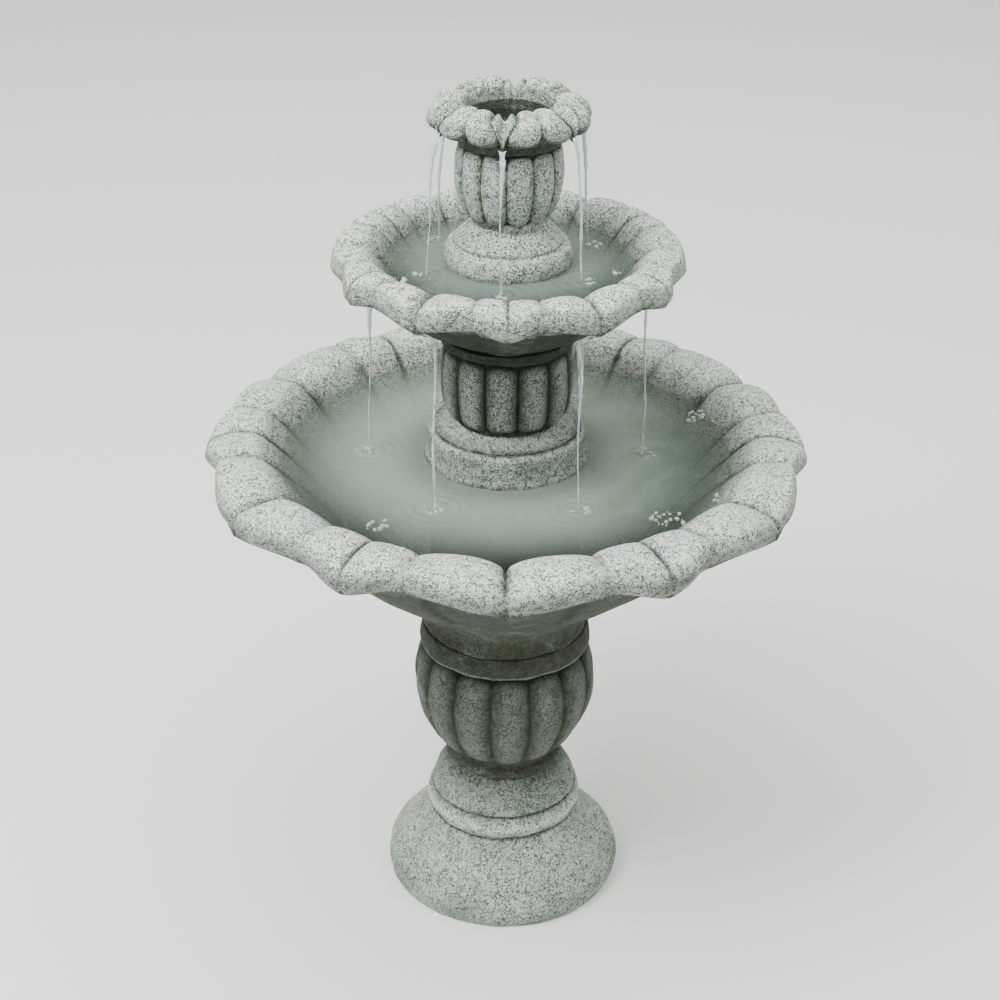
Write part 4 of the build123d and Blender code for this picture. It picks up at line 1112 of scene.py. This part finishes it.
class WaterOperator(bpy.types.Operator):
    """Fill the lower bowl, the middle bowl and the crown's cup with water"""

    bl_idname = "fountain.water"
    bl_label = "Standing water"

    def execute(self, context):
        settings = context.scene.fountain_water
        basin, middle = water_levels()
        material = standing_water("standing_basin_water", settings.tint, settings.algae)
        line = outline(
            (0, 449),
            (30, [(137, 449)]),
            (12, [(158, 463), (192, 502), (230, 546), (268, 582), (BASIN_SHORE + 1, basin)]),
            (2.4, [(0, basin)]),
        )
        falls = (MIDDLE_FALLS, MIDDLE_FALL_RADIUS)
        water_piece("lower_bowl_water", "basin", line, basin, BASIN_SHORE, *falls, material)

        material = standing_water("standing_middle_water", settings.middle, settings.algae)
        line = outline(
            (18, middle),
            (5, [(18, 769)]),
            (20, [(98, 769)]),
            (9, [(107, 778), (119, 793), (132, 809), (147, 821), (MIDDLE_SHORE + 1, middle)]),
            (2.2, [(18, middle)]),
        )
        falls = (CROWN_FALLS, CROWN_FALL_RADIUS)
        water_piece("middle_bowl_water", "middle_tier", line, middle, MIDDLE_SHORE, *falls, material)

        # Water wells up from the hose, 4 mm to the front of the cup's middle.
        material = standing_water("dark_cup_water", settings.cup, settings.cup)
        cup = CROWN_SEAT + 22
        line = outline((0, 971), (6, [(37, 971)]), (4, [(CROWN_SHORE, cup)]), (1.8, [(0, cup)]))
        water_piece("crown_water", "top_tier", line, cup, CROWN_SHORE, [0], 4, material)
        return {"FINISHED"}


def strand(name, bearing, let_go, landing, width, throw, seed):
    """A round strand of falling water, which thins and beads as it speeds up."""
    fall = let_go[1] - landing
    steps = max(int(fall / 3), 8)
    rows = []
    for i in range(steps + 1):
        t = i / steps
        thin = width * (0.42 + 0.58 * (1 - t) ** 2.2)
        beads = 1 + 0.22 * math.sin(fall * t / 5.3 + seed) * t + 0.13 * math.sin(fall * t / 2.9 + 2 * seed)
        rows.append((thin * beads, landing + fall * (1 - t)))
    rows = [(0, landing - 3), (rows[-1][0] * 1.5, landing - 3)] + rows[::-1] + [(0, let_go[1] + 1)]
    piece = spin_casting(name, np.array(rows, float), 12)
    xyz = points_of(piece) / MM
    down = np.clip((let_go[1] - xyz[:, 2]) / fall, 0, 1)
    start_x, start_y = polar(let_go[0], bearing)
    out_x, out_y = polar(1, bearing)
    drift = throw * np.sqrt(down) + 0.8 * np.sin(down * 9 + seed)
    sway = 0.9 * np.sin(down * 7 + 2.3 * seed)
    squash = 1 + 0.35 * np.cos(down * 5 + seed)
    xyz[:, 0] = xyz[:, 0] * squash + start_x + out_x * drift - out_y * sway
    xyz[:, 1] = xyz[:, 1] / squash + start_y + out_y * drift + out_x * sway
    move_points(piece, xyz * MM)
    return piece


def lip_film(bearing, lip, let_go, width):
    """The film of water that runs back under a lip to its strand, widest at the lip."""
    deselect_all()
    bpy.ops.mesh.primitive_grid_add(x_subdivisions=12, y_subdivisions=24, size=2, location=(0, 0, 0))
    film = bpy.context.object
    shell = film.modifiers.new("shell", "SOLIDIFY")
    shell.thickness = 0.16
    bpy.ops.object.modifier_apply(modifier=shell.name)
    # The grid runs from -1 to 1: across the film in X, from the lip to the strand in Y.
    xyz = points_of(film)
    run = (xyz[:, 1] + 1) / 2
    across = xyz[:, 0] * width * (1.1 + 0.7 * (1 - run) ** 2)
    bulge = (1 - xyz[:, 0] ** 2) * 1.6 + xyz[:, 2] * 9
    radius = lip[0] + (let_go[0] - lip[0]) * run
    height = lip[1] + (let_go[1] - lip[1]) * run**1.6 - bulge * (1 - 0.3 * run)
    out_x, out_y = polar(1, bearing)
    place = [out_x * radius - out_y * across, out_y * radius + out_x * across, height]
    move_points(film, np.stack(place, axis=1) * MM)
    return film


def stream(name, body, bearing, lip, let_go, landing, width, throw, seed):
    """One falling stream: a film from the lip to where it lets go, then a strand."""
    piece = strand(name, bearing, let_go, landing, width, throw, seed)
    select_only(piece, lip_film(bearing, lip, let_go, width))
    bpy.ops.object.join()
    bpy.ops.object.mode_set(mode="EDIT")
    bpy.ops.mesh.select_all(action="SELECT")
    bpy.ops.mesh.normals_make_consistent(inside=False)
    bpy.ops.object.mode_set(mode="OBJECT")
    bpy.ops.object.shade_smooth()
    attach(piece, body)
    give(piece, falling_water())


class StreamsOperator(bpy.types.Operator):
    """Hang the twelve falling streams from the spouts of the crown and of the middle bowl"""

    bl_idname = "fountain.streams"
    bl_label = "Falling streams"

    def execute(self, context):
        basin, middle = water_levels()
        for number, bearing in enumerate(MIDDLE_FALLS):
            name = f"middle_stream_{number + 1}"
            places = (bearing, MIDDLE_LIP, MIDDLE_LETS_GO, basin)
            stream(name, "middle_tier", *places, width=2.8, throw=6, seed=number * 1.7)
        for number, bearing in enumerate(CROWN_FALLS):
            name = f"crown_stream_{number + 1}"
            places = (bearing, CROWN_LIP, CROWN_LETS_GO, middle)
            stream(name, "top_tier", *places, width=2.3, throw=11, seed=number * 2.3 + 0.6)
        return {"FINISHED"}


def bubble_patch(name, body, level, patches, seed):
    """Foam on one sheet of water: one half-sunk bubble, copied in patches of mixed sizes.

    A patch is its radius and bearing, its spread in millimetres and its number of bubbles.
    """
    draw = np.random.default_rng(seed)
    deselect_all()
    bpy.ops.mesh.primitive_ico_sphere_add(subdivisions=2, radius=1, location=(0, 0, 0))
    first = bpy.context.object
    bpy.ops.object.shade_smooth()
    copies = []
    for patch_radius, bearing, spread, count in patches:
        middle_x, middle_y = polar(patch_radius, bearing)
        for _ in range(count):
            size = 0.9 + 2.2 * draw.random() ** 2.2
            away = spread * math.sqrt(draw.random())
            angle = draw.random() * 2 * math.pi
            copy = bpy.data.objects.new(name, first.data.copy())
            bpy.context.collection.objects.link(copy)
            x = middle_x + away * math.cos(angle)
            y = middle_y + away * math.sin(angle)
            copy.location = (x * MM, y * MM, (level + size * 0.1) * MM)
            copy.scale = (size * MM, size * MM, size * 0.8 * MM)
            copies.append(copy)
    bpy.data.objects.remove(first)
    select_only(*copies)
    bpy.ops.object.join()
    foam = bpy.context.object
    foam.name = name
    set_origin_to_zero(foam)
    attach(foam, body)
    give(foam, foam_bubbles())


class FoamOperator(bpy.types.Operator):
    """Scatter bubbles where the streams land"""

    bl_idname = "fountain.foam"
    bl_label = "Foam"

    def execute(self, context):
        basin, middle = water_levels()
        # Bubbles rise where the streams land, and rafts of them have drifted off.
        landings = [(MIDDLE_FALL_RADIUS + 6, bearing, 13, 16) for bearing in MIDDLE_FALLS]
        rafts = [(238, 48, 20, 26), (262, 66, 12, 14), (225, -38, 14, 14), (250, 112, 18, 20)]
        bubble_patch("lower_bowl_foam", "basin", basin, landings + rafts, seed=11)
        landings = [(CROWN_FALL_RADIUS + 5, bearing, 9, 9) for bearing in CROWN_FALLS]
        rafts = [(128, 20, 9, 10), (134, -62, 8, 8), (120, 75, 9, 9)]
        bubble_patch("middle_bowl_foam", "middle_tier", middle, landings + rafts, seed=12)
        return {"FINISHED"}


# ---------------------------------------------------------------- pump and rubber pieces
ABS_PIECES = ("pump_housing", "volute_cover", "strainer_cover", "outlet_nozzle")
PUMP_RUBBERS = ("shaft_bush_rear", "shaft_bush_front", "o_ring", "suction_feet", "pump_cord_relief")
BOWL_RUBBERS = ("cord_gland", "drain_plug", "hose_grommet")
# Each finish: its nodes, the two colours of its mottling, how metallic and how rough it is, the scale of its
# pattern per metre and its relief in millimetres.
PUMP_FINISHES = {
    # ABS, moulded with a fine spark-eroded grain: dull black with a soft sheen.
    "black_moulded_abs": (ABS_PIECES, ("15171A", "24272B"), 0.0, 0.48, 900.0, 0.05),
    # Acetal, moulded and polished: milky white, a little yellow.
    "white_moulded_acetal": (("impeller", "flow_dial"), ("E6E5DD", "D9D7CA"), 0.0, 0.28, 300.0, 0.02),
    # Epoxy, poured round the coils: glossy black with a slight swirl.
    "poured_epoxy": (("potting",), ("0B0B0C", "17181A"), 0.0, 0.15, 60.0, 0.04),
    # Silicon steel sheets, stamped and stacked: grey edges with a dull oxide.
    "stamped_laminations": (("stator_core",), ("6C6E70", "4A4B4D"), 1.0, 0.42, 1400.0, 0.06),
    # Enamelled copper wire, wound: warm and shiny.
    "enamelled_copper_wire": (("stator_coils",), ("B5642F", "8C4520"), 1.0, 0.3, 1250.0, 0.15),
    # Hard ferrite, sintered and ground: charcoal grey with a fine grit.
    "sintered_ferrite": (("rotor_magnet",), ("2B2C2E", "3A3B3D"), 0.0, 0.55, 1500.0, 0.03),
    # Alumina ceramic, ground: white and smooth.
    "ground_alumina": (("rotor_shaft",), ("EDEBE2", "DFDCD0"), 0.0, 0.22, 700.0, 0.01),
    # Nitrile rubber, moulded: matt black with a grey bloom.
    "moulded_nitrile_rubber": (PUMP_RUBBERS + BOWL_RUBBERS, ("121313", "26282A"), 0.0, 0.72, 420.0, 0.06),
    # Open-cell polyurethane foam: dark grey cells a millimetre across.
    "open_cell_foam": (("filter_foam",), ("17181A", "3B3E42"), 0.0, 0.95, 750.0, 0.8),
    # Stainless band: bright, with rolling marks.
    "rolled_stainless_band": (("hose_clamp",), ("B9BBBC", "8F9193"), 1.0, 0.3, 1000.0, 0.03),
}


def pump_finish(name, colours, metallic, roughness, scale, relief):
    """One of the finishes above: mottled in two colours, with a fine grain."""
    material, tree, shader, _ = new_material(name)
    place = add(tree, "ShaderNodeTexCoord").outputs["Object"]
    grain = add(tree, "ShaderNodeTexNoise", {"Vector": place, "Scale": scale, "Detail": 3.0}).outputs[0]
    cloud = add(tree, "ShaderNodeTexNoise", {"Vector": place, "Scale": scale / 9}).outputs[0]
    links = {0: cloud, 6: linear(colours[0]), 7: linear(colours[1])}
    mottle = add(tree, "ShaderNodeMix", links, data_type="RGBA").outputs[2]
    links = {"Value": cloud, "To Min": roughness - 0.06, "To Max": roughness + 0.06}
    uneven = add(tree, "ShaderNodeMapRange", links).outputs[0]
    links = {"Strength": 0.6, "Distance": relief * MM, "Height": grain}
    bump = add(tree, "ShaderNodeBump", links).outputs[0]
    feed(tree, shader, {"Base Color": mottle, "Roughness": uneven, "Metallic": metallic, "Normal": bump})
    return material


def clear_hose():
    """Plasticised PVC hose, extruded: clear when new, now milky and green with algae inside."""
    material, tree, shader, output = new_material("extruded_clear_pvc")
    place = add(tree, "ShaderNodeTexCoord").outputs["Object"]
    # Clouds of algae 18 mm across.
    cloud = add(tree, "ShaderNodeTexNoise", {"Vector": place, "Scale": 55.0, "Detail": 3.0}).outputs[0]
    links = {0: cloud, 6: linear("C8D2C8"), 7: linear("8E9F86")}
    tint = add(tree, "ShaderNodeMix", links, data_type="RGBA").outputs[2]
    bump = add(tree, "ShaderNodeBump", {"Strength": 0.4, "Distance": 0.3 * MM, "Height": cloud}).outputs[0]
    feed(tree, shader, {"Base Color": tint, "Roughness": 0.2, "IOR": 1.53, "Normal": bump})
    see_through(tree, shader, output, "D5DDD5", 0.7)
    return material


class PumpOperator(bpy.types.Operator):
    """Finish the pump, its hose and the rubber pieces"""

    bl_idname = "fountain.pump"
    bl_label = "Pump and hose"

    def execute(self, context):
        for name, (nodes, *looks) in PUMP_FINISHES.items():
            material = pump_finish(name, *looks)
            for node in nodes:
                give(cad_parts[node], material)
        give(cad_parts["supply_hose"], clear_hose())
        return {"FINISHED"}


# ---------------------------------------------------------------- stage
CAMERA_PLACE = (0.0, -2.140, 1.688)
CAMERA_DOWN = 28.69  # degrees below the horizon
CAMERA_ROLL = 0.55  # degrees
CAMERA_LENS = 74.8  # millimetres
CAMERA_SHIFT = (-0.006, 0.004)
LAMP_AIM = Vector((0, 0, 0.55))
# Each lamp: its name, place, width and power in watts.
LAMPS = (
    ("sky_softbox", (0.0, 0.0, 5.0), 9.0, 450),
    ("key_light", (-1.7, -1.3, 3.0), 1.6, 112),
    ("fill_light", (2.2, -1.4, 2.2), 2.2, 10),
)


def pale_paper():
    """Background paper, rolled: nearly white and matt, with faint fibres 3 mm apart."""
    material, tree, shader, _ = new_material("pale_paper_floor")
    place = add(tree, "ShaderNodeTexCoord").outputs["Object"]
    fibre = add(tree, "ShaderNodeTexNoise", {"Vector": place, "Scale": 300.0}).outputs[0]
    links = {0: fibre, 6: linear("F8F8F7"), 7: linear("FBFBFA")}
    paper = add(tree, "ShaderNodeMix", links, data_type="RGBA").outputs[2]
    feed(tree, shader, {"Base Color": paper, "Roughness": 0.9})
    return material


class StageOperator(bpy.types.Operator):
    """Set the pale floor, the soft studio lights and the camera"""

    bl_idname = "fountain.stage"
    bl_label = "Stage"

    def execute(self, context):
        deselect_all()
        bpy.ops.mesh.primitive_plane_add(size=14, location=(0, 0, 0))
        floor = context.object
        floor.name = "studio_floor"
        give(floor, pale_paper())

        world = bpy.data.worlds.new("studio_air")
        context.scene.world = world
        world.use_nodes = True
        sky = world.node_tree.nodes["Background"]
        feed(world.node_tree, sky, {"Color": linear("FFFFFF"), "Strength": 0.5})
        for name, place, size, power in LAMPS:
            bpy.ops.object.light_add(type="AREA", location=place)
            lamp = context.object
            lamp.name = name
            lamp.data.name = name
            lamp.data.shape = "DISK"
            lamp.data.size = size
            lamp.data.energy = power
            lamp.rotation_euler = (LAMP_AIM - Vector(place)).to_track_quat("-Z", "Y").to_euler()

        bpy.ops.object.camera_add(location=CAMERA_PLACE)
        camera = context.object
        tilt = Matrix.Rotation(math.radians(90 - CAMERA_DOWN), 4, "X")
        roll = Matrix.Rotation(math.radians(CAMERA_ROLL), 4, "Z")
        camera.rotation_euler = (tilt @ roll).to_euler()
        camera.data.lens = CAMERA_LENS
        camera.data.shift_x, camera.data.shift_y = CAMERA_SHIFT
        context.scene.camera = camera
        return {"FINISHED"}


# ---------------------------------------------------------------- panel and registration
OPERATORS = (
    PedestalOperator,
    BasinOperator,
    ColumnOperator,
    MiddleBowlOperator,
    TopColumnOperator,
    CrownOperator,
    WaterOperator,
    StreamsOperator,
    FoamOperator,
    PumpOperator,
    StageOperator,
)


class FountainPanel(bpy.types.Panel):
    """Lists the fountain's pieces and its settings"""

    bl_idname = "VIEW3D_PT_fountain"
    bl_label = "Tiered Garden Fountain"
    bl_space_type = "VIEW_3D"
    bl_region_type = "UI"
    bl_category = "Fountain"

    def draw(self, context):
        for operator in OPERATORS:
            self.layout.operator(operator.bl_idname)
        for settings in (context.scene.fountain_stone, context.scene.fountain_water):
            box = self.layout.box()
            for name in settings.__annotations__:
                box.prop(settings, name)


CLASSES = (FountainStone, FountainWater, *OPERATORS, FountainPanel)


def register():
    """Adds the settings, the operators and the panel to Blender."""
    for item in CLASSES:
        bpy.utils.register_class(item)
    bpy.types.Scene.fountain_stone = bpy.props.PointerProperty(type=FountainStone)
    bpy.types.Scene.fountain_water = bpy.props.PointerProperty(type=FountainWater)


def unregister():
    """Takes them out again."""
    del bpy.types.Scene.fountain_water
    del bpy.types.Scene.fountain_stone
    for item in reversed(CLASSES):
        bpy.utils.unregister_class(item)


def main():
    """Builds every piece in order."""
    register()
    bpy.ops.fountain.pedestal()
    bpy.ops.fountain.basin()
    bpy.ops.fountain.column()
    bpy.ops.fountain.middle_bowl()
    bpy.ops.fountain.top_column()
    bpy.ops.fountain.crown()
    bpy.ops.fountain.water()
    bpy.ops.fountain.streams()
    bpy.ops.fountain.foam()
    bpy.ops.fountain.pump()
    bpy.ops.fountain.stage()


if __name__ == "__main__":
    main()
